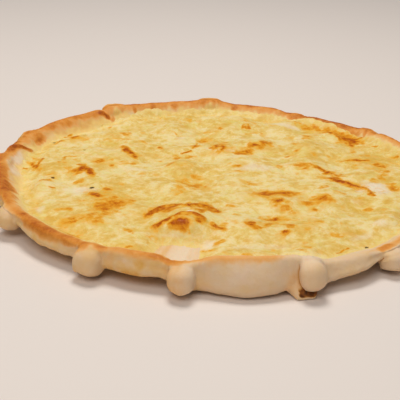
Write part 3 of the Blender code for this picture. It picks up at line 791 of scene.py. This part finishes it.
# ---------------------------------------------------------------- The baked dough
def section_length(section, crest_row):
    """Way along the section from the crest, inwards negative: the summed steps between its samples."""
    steps = np.linalg.norm(np.diff(section, axis=0), axis=1)
    way = np.concatenate([np.zeros((1, steps.shape[1])), np.cumsum(steps, axis=0)])
    return way - way[crest_row]


def ring_place(phi, way, squeeze):
    """Places for noise that follows the rim: a circle as wide as the crest, with the way along the
    section, times squeeze, as height."""
    return polar(CREST_RADIUS, phi, way * squeeze)


def dough_relief(points, phi, way):
    """Height of the dough's own unevenness: slow swellings, small bumps and pores, wrinkles that run up and
    down beside the pinches, and the fold round the bubble across the bank."""
    pinched = sum(bell(phi, row.angle, WRINKLE_SPREAD) for row in PINCHES)
    ridges = ridged(ring_place(phi, way, WRINKLE_SQUEEZE), WRINKLE_SIZE, WRINKLE_SEED, WRINKLE_SHARPNESS)
    wrinkles = WRINKLE_HEIGHT * pinched * np.clip(ridges, WRINKLE_DEPTH, 1)
    from_fold = np.radians(degrees_from(phi, FOLD_ANGLE)) * CREST_RADIUS
    fold = BUBBLE_FOLD.rise * MM * along_stroke(from_fold, way, BUBBLE_FOLD)
    return uneven(points, DOUGH_RELIEF) + wrinkles + fold


def dough_browning_and_shade(phi, way, points):
    """How browned the dough is, how golden and how pale where it is plain. The brown is a band along the
    crest whose edges run out in fingers, a line on the crest itself, and single marks, a few of them painted
    shade in hollows beside the knobs; some of the pale is painted highlight. What each of them leaves clear
    is multiplied."""
    tables = zip(np.array(PINCH_BAKES).T, np.array(STRETCH_BAKES).T, BAKE_DIPS)
    inner, outer, strength, line, golden = (round_the_rim(phi, *pair) for pair in tables)
    fingers = sum(s * noise(ring_place(phi, way, squeeze), *kind) for s, squeeze, *kind in FINGERS)
    patches = uneven(points, PATCHES)
    band_rag, change, mark_rag = (a * fingers + b * patches for a, b in FINGERS_AND_PATCHES)
    inside = way < 0
    away = np.abs(way) / (np.where(inside, inner, outer) * MM)
    band = ease(away + band_rag * np.where(inside, 1, OUTER_CALM), *BAND_FADE)
    band = band * strength * np.clip(1 + change, *BAND_RANGE)
    middle, half_width = CREST_LINE
    mean, by_fingers = LINE_FINGERS
    on_crest = line * hump(way - middle, half_width) * (mean + by_fingers * fingers)
    clear = (1 - band) * (1 - np.clip(on_crest, 0, DARKEST_LINE))
    pale = np.zeros_like(way)
    for mark in DOUGH_MARKS_AND_SHADE + PALE_DOUGH_AND_HIGHLIGHTS:
        u = np.radians(degrees_from(phi, mark.u)) * CREST_RADIUS + mark.u * MM
        core = in_mark(mark, u, way, mark_rag)
        if mark in PALE_DOUGH_AND_HIGHLIGHTS:
            pale = np.maximum(pale, core)
        else:
            clear = clear * (1 - core)
    return 1 - clear, golden * np.clip(1 + GOLDEN_PATCHES * patches, *GOLDEN_RANGE), pale


def shaded_hollow(phi, way, height, points):
    """How dark the torn lip's hollow is painted, as painted shade with some browning: between its ends and
    two heights, out past the crest, with ragged edges.
    """
    rag = uneven(points, HOLLOW_RAG)
    hollow = ease(torn(phi + HOLLOW_SHIFT) + rag / MM, *HOLLOW_ENDS) * (way > 0)
    hollow = hollow * ease(height + rag, *HOLLOW_FOOT) * ease(height, *HOLLOW_TOP)
    return hollow * np.clip(HOLLOW_DARKNESS + uneven(points, HOLLOW_MOTTLE), 0, 1)


def melted_tint_and_light(phi, radius, points):
    """How far the cheese tints the dough beside it: over a ragged reach from its edge, more at the back,
    where the brighter tint is partly painted light on the bank that faces away from the lamps.
    """
    reach = MELTED_REACH[0] + MELTED_REACH[1] * bell(phi, *BACK)
    return ease((cheese_edge(phi) - radius) / reach + uneven(points, MELTED_RAG), *MELTED_FADE)


def ragged_foot(phi, way, off_flat):
    """How far the wall's foot is raised: by noise round the rim, off the flat and away from the knobs."""
    from_foot = way - way[sum(ROWS[:FOOT_CONTROL])]
    knobs = sum(bell(phi, row.angle, FOOT_CALM) for row in PINCHES)
    foot = hump(from_foot, FOOT_SPREAD) * off_flat * np.clip(1 - knobs, 0, 1)
    return foot * uneven(ring_place(phi, way, FOOT_SQUEEZE), FOOT_RAG)


def make_crust(material):
    """The bread in one skin: rings of the rim's section carried round, knobs pressed out, relief along the
    normals, and a ragged foot. The underside stays flat where the bread rests."""
    columns = column_angles(CRUST_COLUMNS)
    section = through(rim_section(columns), ROWS)
    way = section_length(section, sum(ROWS[: len(BANK)]))
    radius, height = section[:, 0], section[:, 1]
    phi = np.broadcast_to(columns, radius.shape)
    plain = polar(radius, phi, height)
    pressed, seams = press_knobs(plain)
    off_flat = ease(pressed[..., 2], *RELIEF_FADE)
    relief = dough_relief(pressed, phi, way) * off_flat
    skin = pressed + outward(pressed) * relief[..., None]
    skin[..., 2] = np.maximum(skin[..., 2] + ragged_foot(phi, way, off_flat), 0)
    skin = np.clip(skin, np.array(cad_box[0]), np.array(cad_box[1]))

    browning, golden, pale = dough_browning_and_shade(phi, way, plain)
    # The lip's hollow goes into the seams: painted shade, with some browning
    seams = np.maximum(seams, shaded_hollow(phi, way, height, plain))
    # The cheese's tint on the dough, partly painted light on the back bank
    melted = melted_tint_and_light(phi, radius, plain) * (way < 0) * (1 - MELTED_PALE * pale)
    marks = {"browning": browning, "golden": golden, "pale": pale, "seam": seams, "melted": melted}

    rings = np.arange(radius.size).reshape(radius.shape)
    top, bottom = radius.size, radius.size + 1
    faces = [strip(ring, lower) for ring, lower in zip(rings, rings[1:])]
    faces += [fan(top, rings[0]), fan(bottom, rings[-1][::-1])]
    vertices = np.concatenate([skin.reshape(-1, 3), [(0, 0, FLOOR)], [(0, 0, 0)]])
    return add_piece("baked_crust", vertices, faces, marks, material, "crust")


# ---------------------------------------------------------------- The melted cheese
def disc_grid(count):
    """Share of the radius and angle at the crossings of a square grid laid on a disc: each square ring of
    crossings becomes a circle, with the crossings spread evenly round it."""
    line = np.linspace(-1, 1, count)
    a, b = np.meshgrid(line, line)
    wide = np.abs(a) > np.abs(b)
    reach = np.where(wide, a, b)
    safe = np.where(reach == 0, 1, reach)
    turn = np.where(wide, np.pi / 4 * b / safe, np.pi / 2 - np.pi / 4 * a / safe)
    return np.abs(reach), turn + np.pi * (reach < 0)


def cheese_edge(phi):
    """Radius of the cheese's edge: uneven, and drawn back at the bare patch."""
    angle, half_width, depth, deeper = BARE_PATCH
    around = degrees_from(phi, angle)
    short = (depth + deeper * around) * ease(np.abs(around) / half_width, *BARE_FADE)
    waves = sum(height * np.sin(n * phi + start) for n, height, start in EDGE_WAVES)
    return crest_radius(phi) - rim_shape(phi)[3] - short + waves


def cheese_mounds(x, y):
    """Broad mounds and seeded soft ripples of the melted cheese, as in the solid. A mound is
    exp(-d^2 (1 + k d^2)), with d in radii."""
    relief = np.zeros_like(x)
    for mound_x, mound_y, height, radius in MOUNDS:
        distance = np.hypot(x - mound_x * MM, y - mound_y * MM) / (radius * MM)
        relief += height * MM * np.exp(-(distance**2) * (1 + MOUND_FLANK * distance**2))
    draw = np.random.default_rng(RIPPLE_SEED)
    for _ in range(RIPPLES):
        length = draw.uniform(*RIPPLE_LENGTHS)
        heading, start = draw.uniform(0, 2 * np.pi, 2)
        along = x * np.cos(heading) + y * np.sin(heading)
        relief += RIPPLE_HEIGHT * np.sin(2 * np.pi * along / length + start)
    return relief


def way_in(x, y):
    """Distance in from the cheese's ragged edge, below 0 outside it: to the nearest of many samples that
    lie evenly along the edge."""
    around = np.linspace(-np.pi, np.pi, EDGE_ANGLES)
    radius = cheese_edge(around) + uneven(ring_place(around, np.zeros_like(around), 1), EDGE_RAG)
    steps = np.hypot(np.diff(radius * np.cos(around)), np.diff(radius * np.sin(around)))
    length = np.concatenate([[0], np.cumsum(steps)])
    even = np.interp(np.arange(EDGE_SAMPLES) / EDGE_SAMPLES * length[-1], length, around)
    edge = np.interp(even, around, radius)
    nearest = np.full_like(x, np.inf)
    for edge_x, edge_y in zip(edge * np.cos(even), edge * np.sin(even)):
        nearest = np.minimum(nearest, (x - edge_x) ** 2 + (y - edge_y) ** 2)
    outside = np.hypot(x, y) > np.interp(np.arctan2(y, x), around, radius)
    return np.where(outside, -1, 1) * np.sqrt(nearest)


def cheese_body(radius, phi, inside):
    """Height of the cheese without its fine relief. At its edge it is a film of even thickness over the
    dough, which sinks into the dough past the edge. On the way in, it rises by a smooth step to the level
    cheese where that is higher, and a soft maximum, (h + sqrt(h^2 + s^2)) / 2, rounds the join."""
    film = EDGE_THICKNESS * (1 - np.exp(-inside / FILM_RISE))
    sunk = -SUNK * (1 - np.exp(SUNK_SLOPE * inside / SUNK))
    thin = bread_top(radius, phi) + np.where(inside > 0, film, sunk)
    swell = ease(inside, 0, EDGE_SLOPE)
    level = CHEESE_LEVEL + cheese_mounds(radius * np.cos(phi), radius * np.sin(phi))
    risen = (level - thin) * swell
    return thin + (risen + np.sqrt(risen**2 + (SOFT_JOIN * swell) ** 2)) / 2


def cheese_strands(flat):
    """Run-together shreds, about -1 to 1: sharp ridges where pulled noise crosses zero, and soft lumps."""
    pulled = drifted(flat, STRAND_DRIFT)
    ridges = (strength * ridged(pulled, *kind, STRAND_SHARPNESS) for strength, *kind in STRAND_RIDGES)
    return sum(ridges) + uneven(flat, STRAND_LUMPS)


def faint_marks():
    """Small pale golden marks, spread evenly over the disc by chance."""
    draw = np.random.default_rng(MARK_SEED)
    marks = []
    for _ in range(FAINT_MARKS):
        place = FAINT_DISC * np.sqrt(draw.uniform())
        heading = draw.uniform(0, 2 * np.pi)
        sizes = draw.uniform(*FAINT_SIZES, 2)
        turn, strength = draw.uniform(0, 180), draw.uniform(*FAINT_STRENGTHS)
        marks.append(Mark(place * np.cos(heading), place * np.sin(heading), *sizes, turn, strength))
    return marks


def haloed(mark, halo, x, y, rag, streaks):
    """A mark streaked by the strands, with a wider faint halo where the mark itself isn't."""
    wide = [size * HALO_GROWTH + HALO_MARGIN for size in (mark.length, mark.width)]
    core = in_mark(mark, x, y, rag)
    round_it = halo * in_mark(mark._replace(length=wide[0], width=wide[1]), x, y, rag)
    return core * streaks + round_it * (1 - core / mark.strength)


def cheese_browning(flat, strands):
    """How browned the cheese is: ragged marks streaked by the strands, each with a faint halo, strokes,
    and faint golden marks spread by chance. What each of them leaves clear is multiplied."""
    x, y, _ = np.moveaxis(drifted(flat, MARK_DRIFT), -1, 0)
    rag = uneven(flat, MARK_RAG)
    streaks = uneven(drifted(flat, STRAND_DRIFT), STREAKS)
    streaks = np.clip(STREAK_MEAN + STREAK_STRANDS * strands + streaks, *STREAK_RANGE)
    clear = np.ones_like(x)
    for marks, halo in ((CHEESE_MARKS, HALO), (faint_marks(), 0)):
        for mark in marks:
            near = np.hypot(x - mark.u * MM, y - mark.v * MM) < 2 * max(mark.length, mark.width) * MM
            dark = haloed(mark, halo, x[near], y[near], rag[near], streaks[near])
            clear[near] *= 1 - np.clip(dark, 0, DARKEST_MARK)
    plain, streaked = STROKE_STREAKS
    for stroke in STROKES:
        clear *= 1 - stroke.strength * along_stroke(x, y, stroke) * (plain + streaked * streaks)
    return 1 - clear


def pinholes(x, y):
    """1 in each pinhole, with a steep side: exp(-d^4), with d in radii."""
    holes = np.zeros_like(x)
    for hole_x, hole_y, radius in PINHOLES:
        distance = np.hypot(x - hole_x * MM, y - hole_y * MM) / (radius * MM)
        holes = np.maximum(holes, np.exp(-(distance**4)))
    return holes


def cheese_relief(flat, strands, browning):
    """Height of the cheese's fine relief: strands, bumps, more bumps where it is browned, and folds."""
    bumps = uneven(flat, CHEESE_BUMPS) + browning * uneven(flat, BROWNED_BUMPS)
    folds = sum(stroke.rise * along_stroke(flat[..., 0], flat[..., 1], stroke) for stroke in STROKES)
    return STRAND_HEIGHT * strands + bumps + folds * MM


def strongest(marks, flat, rag):
    """The strongest of the marks at each point."""
    return np.max([in_mark(mark, flat[..., 0], flat[..., 1], rag) for mark in marks], axis=0)


def rings_under(radius, phi, margin):
    """Rings of points under the skin's margin, sunk in the dough, the first one under the margin too."""
    rings = []
    for share in UNDER_RINGS:
        height = bread_top(share * radius, phi)
        if not rings:
            height = np.minimum(height, margin)
        rings.append(polar(share * radius, phi, height - CHEESE_SUNK))
    return rings


def make_cheese(material):
    """The melted layer in one skin: a disc grid on top, whose margin dives into the dough past the ragged
    edge, and rings and a fan under it."""
    share, phi = disc_grid(CHEESE_CELLS + 1)
    radius = share * (crest_radius(phi) - rim_shape(phi)[3] + CHEESE_MARGIN)
    flat = polar(radius, phi, np.zeros_like(phi))
    x, y, _ = np.moveaxis(flat, -1, 0)
    ragged = drifted(flat, EDGE_DRIFT)
    inside = way_in(ragged[..., 0], ragged[..., 1])
    strands = cheese_strands(flat)
    browning = cheese_browning(flat, strands)
    holes = pinholes(x, y)
    relief = ease(inside, 0, EDGE_BAND) * cheese_relief(flat, strands, browning)
    top = cheese_body(radius, phi, inside) + relief - PINHOLE_DEPTH * holes
    patch_rag = uneven(flat, PATCH_RAG)
    marks = {
        "browning": browning,
        "strands": strands,
        "pale": strongest(PALE_AND_HIGHLIGHT_MARKS, flat, patch_rag),
        "golden": strongest(GOLDEN_MARKS, flat, patch_rag),
        "hole": holes,
        "rim": np.exp(-np.clip(inside, 0, None) / EDGE_BAND),
    }

    numbers = np.arange(share.size).reshape(share.shape)
    quads = np.stack([numbers[:-1, :-1], numbers[:-1, 1:], numbers[1:, 1:], numbers[1:, :-1]], axis=-1)
    margin = np.concatenate([numbers[0, :-1], numbers[:-1, -1], numbers[-1, :0:-1], numbers[:0:-1, 0]])
    rings = rings_under(*(values.ravel()[margin] for values in (radius, phi, top)))
    count = len(margin)
    loops = [margin] + [share.size + i * count + np.arange(count) for i in range(len(rings))]
    pole = share.size + count * len(rings)
    faces = [quads.reshape(-1, 4)]
    faces += [strip(loop, lower) for loop, lower in zip(loops, loops[1:])]
    faces += [fan(pole, loops[-1][::-1])]
    skin = np.stack([x, y, top], axis=-1).reshape(-1, 3)
    vertices = np.concatenate([skin, *rings, [(0, 0, FLOOR - CHEESE_SUNK)]])
    return add_piece("melted_cheese", vertices, faces, marks, material, "cheese")


# ---------------------------------------------------------------- Materials, colours linear
MELTED_EDGE_AND_LIGHT = (0.93, 0.67, 0.24)  # where cheese and dough run into each other, bright enough to be partly painted light on the shaded back bank
DOUGH_TONES = (  # from pale to golden
    (0.0, (0.82, 0.61, 0.415)),
    (0.45, (0.81, 0.555, 0.295)),
    (0.8, (0.80, 0.48, 0.17)),
    (1.0, (0.77, 0.41, 0.10)),
)
ROSY, THIN_SKIN_AND_HIGHLIGHT, SPECK = (0.84, 0.60, 0.44), (0.87, 0.72, 0.55), (0.62, 0.36, 0.15)
BAKED_TONES = (
    (0.0, (0.86, 0.55, 0.26)),
    (0.28, (0.84, 0.42, 0.125)),
    (0.55, (0.75, 0.29, 0.045)),
    (0.80, (0.57, 0.165, 0.016)),
    (1.0, (0.37, 0.08, 0.006)),
)
# Seams from browned to near black: the dark end is painted shade in the creases and the torn lip's hollow
SEAM_AND_SHADE_TONES = (
    (0.0, (0.80, 0.52, 0.24)),
    (0.35, (0.68, 0.34, 0.09)),
    (0.7, (0.30, 0.10, 0.02)),
    (1.0, (0.08, 0.028, 0.01)),
)
DOUGH_BODY = {  # the radius is how far red, green and blue light spread inside, in metres
    "Subsurface Weight": 0.12,
    "Subsurface Radius": (0.004, 0.0022, 0.0012),
    "Subsurface Scale": 1.0,
    "Specular IOR Level": 0.12,
}
CHEESE_TONES = (  # from golden to creamy
    (0.0, (0.74, 0.44, 0.075)),
    (0.35, (0.80, 0.53, 0.135)),
    (0.7, (0.85, 0.62, 0.215)),
    (1.0, (0.89, 0.71, 0.34)),
)
GOLDEN, STRETCHED_AND_HIGHLIGHT, ORANGE = (0.83, 0.52, 0.06), (0.90, 0.77, 0.59), (0.84, 0.45, 0.11)
# The last of these is painted shade, near black, inside the pinholes
GREENISH, WISP, PINHOLE = (0.76, 0.64, 0.17), (0.78, 0.44, 0.06), (0.06, 0.025, 0.006)
SCORCHED_TONES = (
    (0.0, (0.86, 0.56, 0.13)),
    (0.25, (0.84, 0.42, 0.040)),
    (0.50, (0.72, 0.26, 0.007)),
    (0.75, (0.55, 0.145, 0.002)),
    (1.0, (0.42, 0.082, 0.001)),
)
CHEESE_BODY = {
    "Subsurface Weight": 0.12,
    "Subsurface Radius": (0.004, 0.0022, 0.0008),
    "Subsurface Scale": 1.0,
    "Specular IOR Level": 0.06,
}


class Recipe:
    """A material's node tree, built up step by step. Steps take and give sockets; a plain number or a
    colour is set on the socket itself."""

    def __init__(self, name):
        self.material = bpy.data.materials.new(name)
        self.material.use_nodes = True
        self.tree = self.material.node_tree
        self.shader = self.tree.nodes["Principled BSDF"]
        self.place = self.add("ShaderNodeTexCoord").outputs["Object"]

    def add(self, kind, inputs=None, **settings):
        """A node of a kind, with what its inputs take and how it is set."""
        node = self.tree.nodes.new(kind)
        for name, value in settings.items():
            setattr(node, name, value)
        for name, value in (inputs or {}).items():
            self.put(node.inputs[name], value)
        return node

    def put(self, socket, value):
        """Links a socket to the input, or sets a plain value on it."""
        if isinstance(value, bpy.types.NodeSocket):
            self.tree.links.new(value, socket)
        else:
            socket.default_value = value

    def value(self, name):
        """The value that the piece's vertices carry under a name."""
        return self.add("ShaderNodeAttribute", attribute_name=name).outputs["Fac"]

    def grain(self, size, detail=2.0, roughness=0.5, at=None):
        """Noise about 0.5, with features of a size in metres."""
        inputs = {"Vector": at or self.place, "Scale": 1 / size, "Detail": detail, "Roughness": roughness}
        return self.add("ShaderNodeTexNoise", inputs).outputs["Fac"]

    def pull(self, at, size, reach):
        """Places shifted by slow noise, so that what is drawn at them looks pulled."""
        slow = self.add("ShaderNodeTexNoise", {"Vector": at, "Scale": 1 / size, "Detail": 1.0})
        shift = self.add("ShaderNodeVectorMath", operation="MULTIPLY_ADD")
        for socket, value in zip(shift.inputs, (slow.outputs["Color"], (reach, reach, reach), at)):
            self.put(socket, value)
        return shift.outputs["Vector"]

    def lines(self, size, width, at):
        """1 on thin lines where noise crosses its middle value, 0 a little way off."""
        away = self.calc("ABSOLUTE", self.calc("SUBTRACT", self.grain(size, 1.0, 0.5, at), 0.5))
        return self.remap(away, 0.0, width, 1.0, 0.0)

    def calc(self, operation, *values, clamp=False):
        """The result of an operation on values, held between 0 and 1 by a clamp."""
        node = self.add("ShaderNodeMath", operation=operation, use_clamp=clamp)
        for socket, value in zip(node.inputs, values):
            self.put(socket, value)
        return node.outputs[0]

    def weighed(self, start, *terms):
        """A starting value, plus each other value times its weight. Noise lies about 0.5, so a start below
        0 brings the sum back to its middle."""
        for value, weight in terms:
            start = self.calc("MULTIPLY_ADD", value, weight, start)
        return start

    def blotched(self, browning, change):
        """Browning with a change in proportion to itself, from 0 to 1."""
        return self.calc("MULTIPLY_ADD", change, browning, browning, clamp=True)

    def remap(self, value, low, high, to_low=0.0, to_high=1.0):
        """A smooth step from one value to another while the given one goes from low to high."""
        inputs = {"Value": value, "From Min": low, "From Max": high, "To Min": to_low, "To Max": to_high}
        return self.add("ShaderNodeMapRange", inputs, interpolation_type="SMOOTHSTEP").outputs["Result"]

    def blend(self, share, first, second):
        """The first colour, with a share of the second."""
        node = self.add("ShaderNodeMix", data_type="RGBA")
        self.put(node.inputs["Factor"], share)
        for socket, colour in zip((node.inputs[6], node.inputs[7]), (first, second)):
            self.put(socket, (*colour, 1) if isinstance(colour, tuple) else colour)
        return node.outputs[2]

    def tint(self, base, colour, value, strength):
        """The base blended towards a colour by a value times a strength."""
        return self.blend(self.calc("MULTIPLY", value, strength), base, colour)

    def ramp(self, value, stops):
        """Colour at a value, between stops given as place and colour."""
        node = self.add("ShaderNodeValToRGB", {"Fac": value})
        elements = node.color_ramp.elements
        while len(elements) < len(stops):
            elements.new(0.5)
        for element, (position, colour) in zip(elements, stops):
            element.position = position
            element.color = (*colour, 1)
        return node.outputs["Color"]

    def bumps(self, *layers):
        """Normals over layers of fine relief: height, distance in metres and strength."""
        normal = None
        for height, distance, strength in layers:
            node = self.add("ShaderNodeBump", {"Height": height, "Distance": distance, "Strength": strength})
            if normal is not None:
                self.put(node.inputs["Normal"], normal)
            normal = node.outputs["Normal"]
        return normal

    def finish(self, colour, roughness, normal, body):
        """The material, with these on its shader and the body's plain values on their own sockets."""
        inputs = {"Base Color": colour, "Roughness": roughness, "Normal": normal, **body}
        for name, value in inputs.items():
            self.put(self.shader.inputs[name], value)
        return self.material


def dough_finish():
    """Cream to golden dough with faint flecks, tan to orange-brown where it is baked, painted shade in its
    creases and the lip's hollow, painted highlights on some knobs, matt and finely rough."""
    make = Recipe("baked_dough")
    flecks = make.grain(1.5 * MM, 4, 0.65)
    mottle = make.grain(5 * MM, 3, 0.6)
    soft = make.grain(14 * MM, 3)
    golden = make.weighed(-0.65, (make.value("golden"), 1), (soft, 0.8), (mottle, 0.5))
    dough = make.ramp(golden, DOUGH_TONES)
    rosy = make.remap(make.grain(8 * MM, 3, 0.6), 0.50, 0.68)
    dough = make.tint(dough, ROSY, rosy, make.remap(golden, 0.45, 0.9, 0.30, 0.08))
    # Pale: thin, stretched skin, and painted highlights on some knobs
    dough = make.tint(dough, THIN_SKIN_AND_HIGHLIGHT, make.value("pale"), 0.75)
    # The cheese's tint on the dough: partly painted light, brightening the back bank that faces away from the
    # lamps
    dough = make.tint(dough, MELTED_EDGE_AND_LIGHT, make.value("melted"), 0.8)
    toned = make.blotched(make.value("browning"), make.weighed(-0.675, (flecks, 0.55), (mottle, 0.8)))
    baked = make.ramp(toned, BAKED_TONES)
    colour = make.blend(make.remap(toned, 0.0, 0.30), dough, baked)
    # Seams: browning, darkened towards near black as painted shade in the creases and the lip's hollow
    seam = make.value("seam")
    colour = make.blend(make.remap(seam, 0.02, 0.40), colour, make.ramp(seam, SEAM_AND_SHADE_TONES))
    colour = make.tint(colour, SPECK, make.remap(make.grain(0.7 * MM, 2, 0.5), 0.60, 0.74), 0.12)
    roughness = make.remap(toned, 0.1, 0.9, 0.62, 0.45)
    normal = make.bumps((make.grain(4 * MM, 3, 0.55), 0.5 * MM, 0.5), (flecks, 0.22 * MM, 0.6))
    return make.finish(colour, roughness, normal, DOUGH_BODY)


def cheese_finish():
    """Melted cheese: creamy and golden patches run together, orange to brown where it is scorched, whitish
    patches partly painted highlights, painted shade in its pinholes, faintly greasy."""
    make = Recipe("melted_cheese")
    run = make.pull(make.pull(make.place, 14 * MM, 9 * MM), 4.5 * MM, 2.2 * MM)
    patches = make.grain(22 * MM, 2)
    curds = make.grain(5 * MM, 4, 0.62, run)
    flecks = make.grain(1.4 * MM, 3, 0.6, run)
    tone = make.weighed(0.0, (make.value("strands"), 0.12), (patches, 0.6), (curds, 0.95), (flecks, 0.35))
    cheese = make.ramp(make.remap(tone, 0.70, 1.16), CHEESE_TONES)
    cheese = make.tint(cheese, GOLDEN, make.value("golden"), 0.65)
    # Whitish: stretched cheese, and painted highlights
    cheese = make.tint(cheese, STRETCHED_AND_HIGHLIGHT, make.value("pale"), 0.88)
    cheese = make.tint(cheese, ORANGE, make.remap(make.grain(9 * MM, 3, 0.6, run), 0.54, 0.70), 0.42)
    cheese = make.tint(cheese, GREENISH, make.remap(make.grain(11 * MM, 3, 0.6), 0.50, 0.66), 0.30)
    here = make.remap(make.grain(13 * MM, 2), 0.44, 0.60)
    cheese = make.tint(cheese, WISP, make.calc("MULTIPLY", make.lines(7 * MM, 0.035, run), here), 0.3)
    cheese = make.tint(cheese, MELTED_EDGE_AND_LIGHT, make.value("rim"), 0.7)
    toned = make.blotched(make.value("browning"), make.weighed(-1.32, (flecks, 1.5), (curds, 1.2)))
    scorched = make.ramp(toned, SCORCHED_TONES)
    colour = make.blend(make.remap(toned, 0.03, 0.34), cheese, scorched)
    # Painted shade, near black, inside the pinholes
    colour = make.blend(make.remap(make.value("hole"), 0.05, 0.50), colour, PINHOLE)
    roughness = make.remap(make.grain(6 * MM, 3, 0.6, run), 0.35, 0.65, 0.28, 0.50)
    normal = make.bumps((curds, 0.6 * MM, 0.5), (flecks, 0.2 * MM, 0.55))
    return make.finish(colour, roughness, normal, CHEESE_BODY)


# ---------------------------------------------------------------- Floor, light and camera
FLOOR_SIZE = 12.0
FLOOR_COLOUR = (0.82, 0.73, 0.66, 1)
FLOOR_ROUGHNESS = 0.7
WORLD_COLOUR = (0.95, 0.96, 1.0, 1)
WORLD_STRENGTH = 0.20
Lamp = namedtuple("Lamp", "name place size power colour")
LAMPS = (
    Lamp("back_softbox", (-0.06, 0.30, 1.15), 0.5, 8.3, (1.0, 0.98, 0.95)),
    Lamp("front_softbox", (-0.30, -0.85, 1.15), 0.9, 6.7, (1.0, 0.97, 0.93)),
)
# The view: degrees above the horizon and of roll, metres from the point aimed at
VIEW_RISE, VIEW_ROLL, VIEW_DISTANCE = 22.3, 1.6, 0.55
VIEW_TARGET = Vector((-0.010, -0.016, 0.0))
LENS = 83.7  # mm, on a 36 mm sensor


def make_floor():
    """A flat pale square that the bread rests on."""
    half = FLOOR_SIZE / 2
    mesh = bpy.data.meshes.new("floor")
    corners = [(-half, -half, 0), (half, -half, 0), (half, half, 0), (-half, half, 0)]
    mesh.from_pydata(corners, [], [(0, 1, 2, 3)])
    material = bpy.data.materials.new("pale_floor")
    material.use_nodes = True
    shader = material.node_tree.nodes["Principled BSDF"]
    shader.inputs["Base Color"].default_value = FLOOR_COLOUR
    shader.inputs["Roughness"].default_value = FLOOR_ROUGHNESS
    mesh.materials.append(material)
    floor = bpy.data.objects.new("floor", mesh)
    bpy.context.scene.collection.objects.link(floor)


def make_lights():
    """Large soft lamps aimed at the bread, and an even pale sky."""
    for lamp in LAMPS:
        data = bpy.data.lights.new(lamp.name, "AREA")
        data.shape = "DISK"
        data.size = lamp.size
        data.energy = lamp.power
        data.color = lamp.colour
        light = bpy.data.objects.new(lamp.name, data)
        light.location = lamp.place
        light.rotation_euler = (-Vector(lamp.place)).to_track_quat("-Z", "Y").to_euler()
        bpy.context.scene.collection.objects.link(light)
    world = bpy.data.worlds.new("studio")
    world.use_nodes = True
    background = world.node_tree.nodes["Background"]
    background.inputs["Color"].default_value = WORLD_COLOUR
    background.inputs["Strength"].default_value = WORLD_STRENGTH
    bpy.context.scene.world = world


def make_camera():
    """A long lens in front, looking down at the bread, turned a little about its own axis."""
    rise, roll = math.radians(VIEW_RISE), math.radians(VIEW_ROLL)
    ahead = Vector((0, math.cos(rise), -math.sin(rise)))
    up = Vector((0, math.sin(rise), math.cos(rise)))
    right = Vector((1, 0, 0))
    turned_right = right * math.cos(roll) + up * math.sin(roll)
    turned_up = up * math.cos(roll) - right * math.sin(roll)
    data = bpy.data.cameras.new("camera")
    data.lens = LENS
    camera = bpy.data.objects.new("camera", data)
    axes = Matrix((turned_right, turned_up, -ahead)).transposed().to_4x4()
    camera.matrix_world = Matrix.Translation(VIEW_TARGET - ahead * VIEW_DISTANCE) @ axes
    bpy.context.scene.collection.objects.link(camera)
    bpy.context.scene.camera = camera


make_camera()
make_floor()
make_lights()
make_crust(dough_finish())
make_cheese(cheese_finish())
bpy.context.scene.view_settings.view_transform = "Standard"
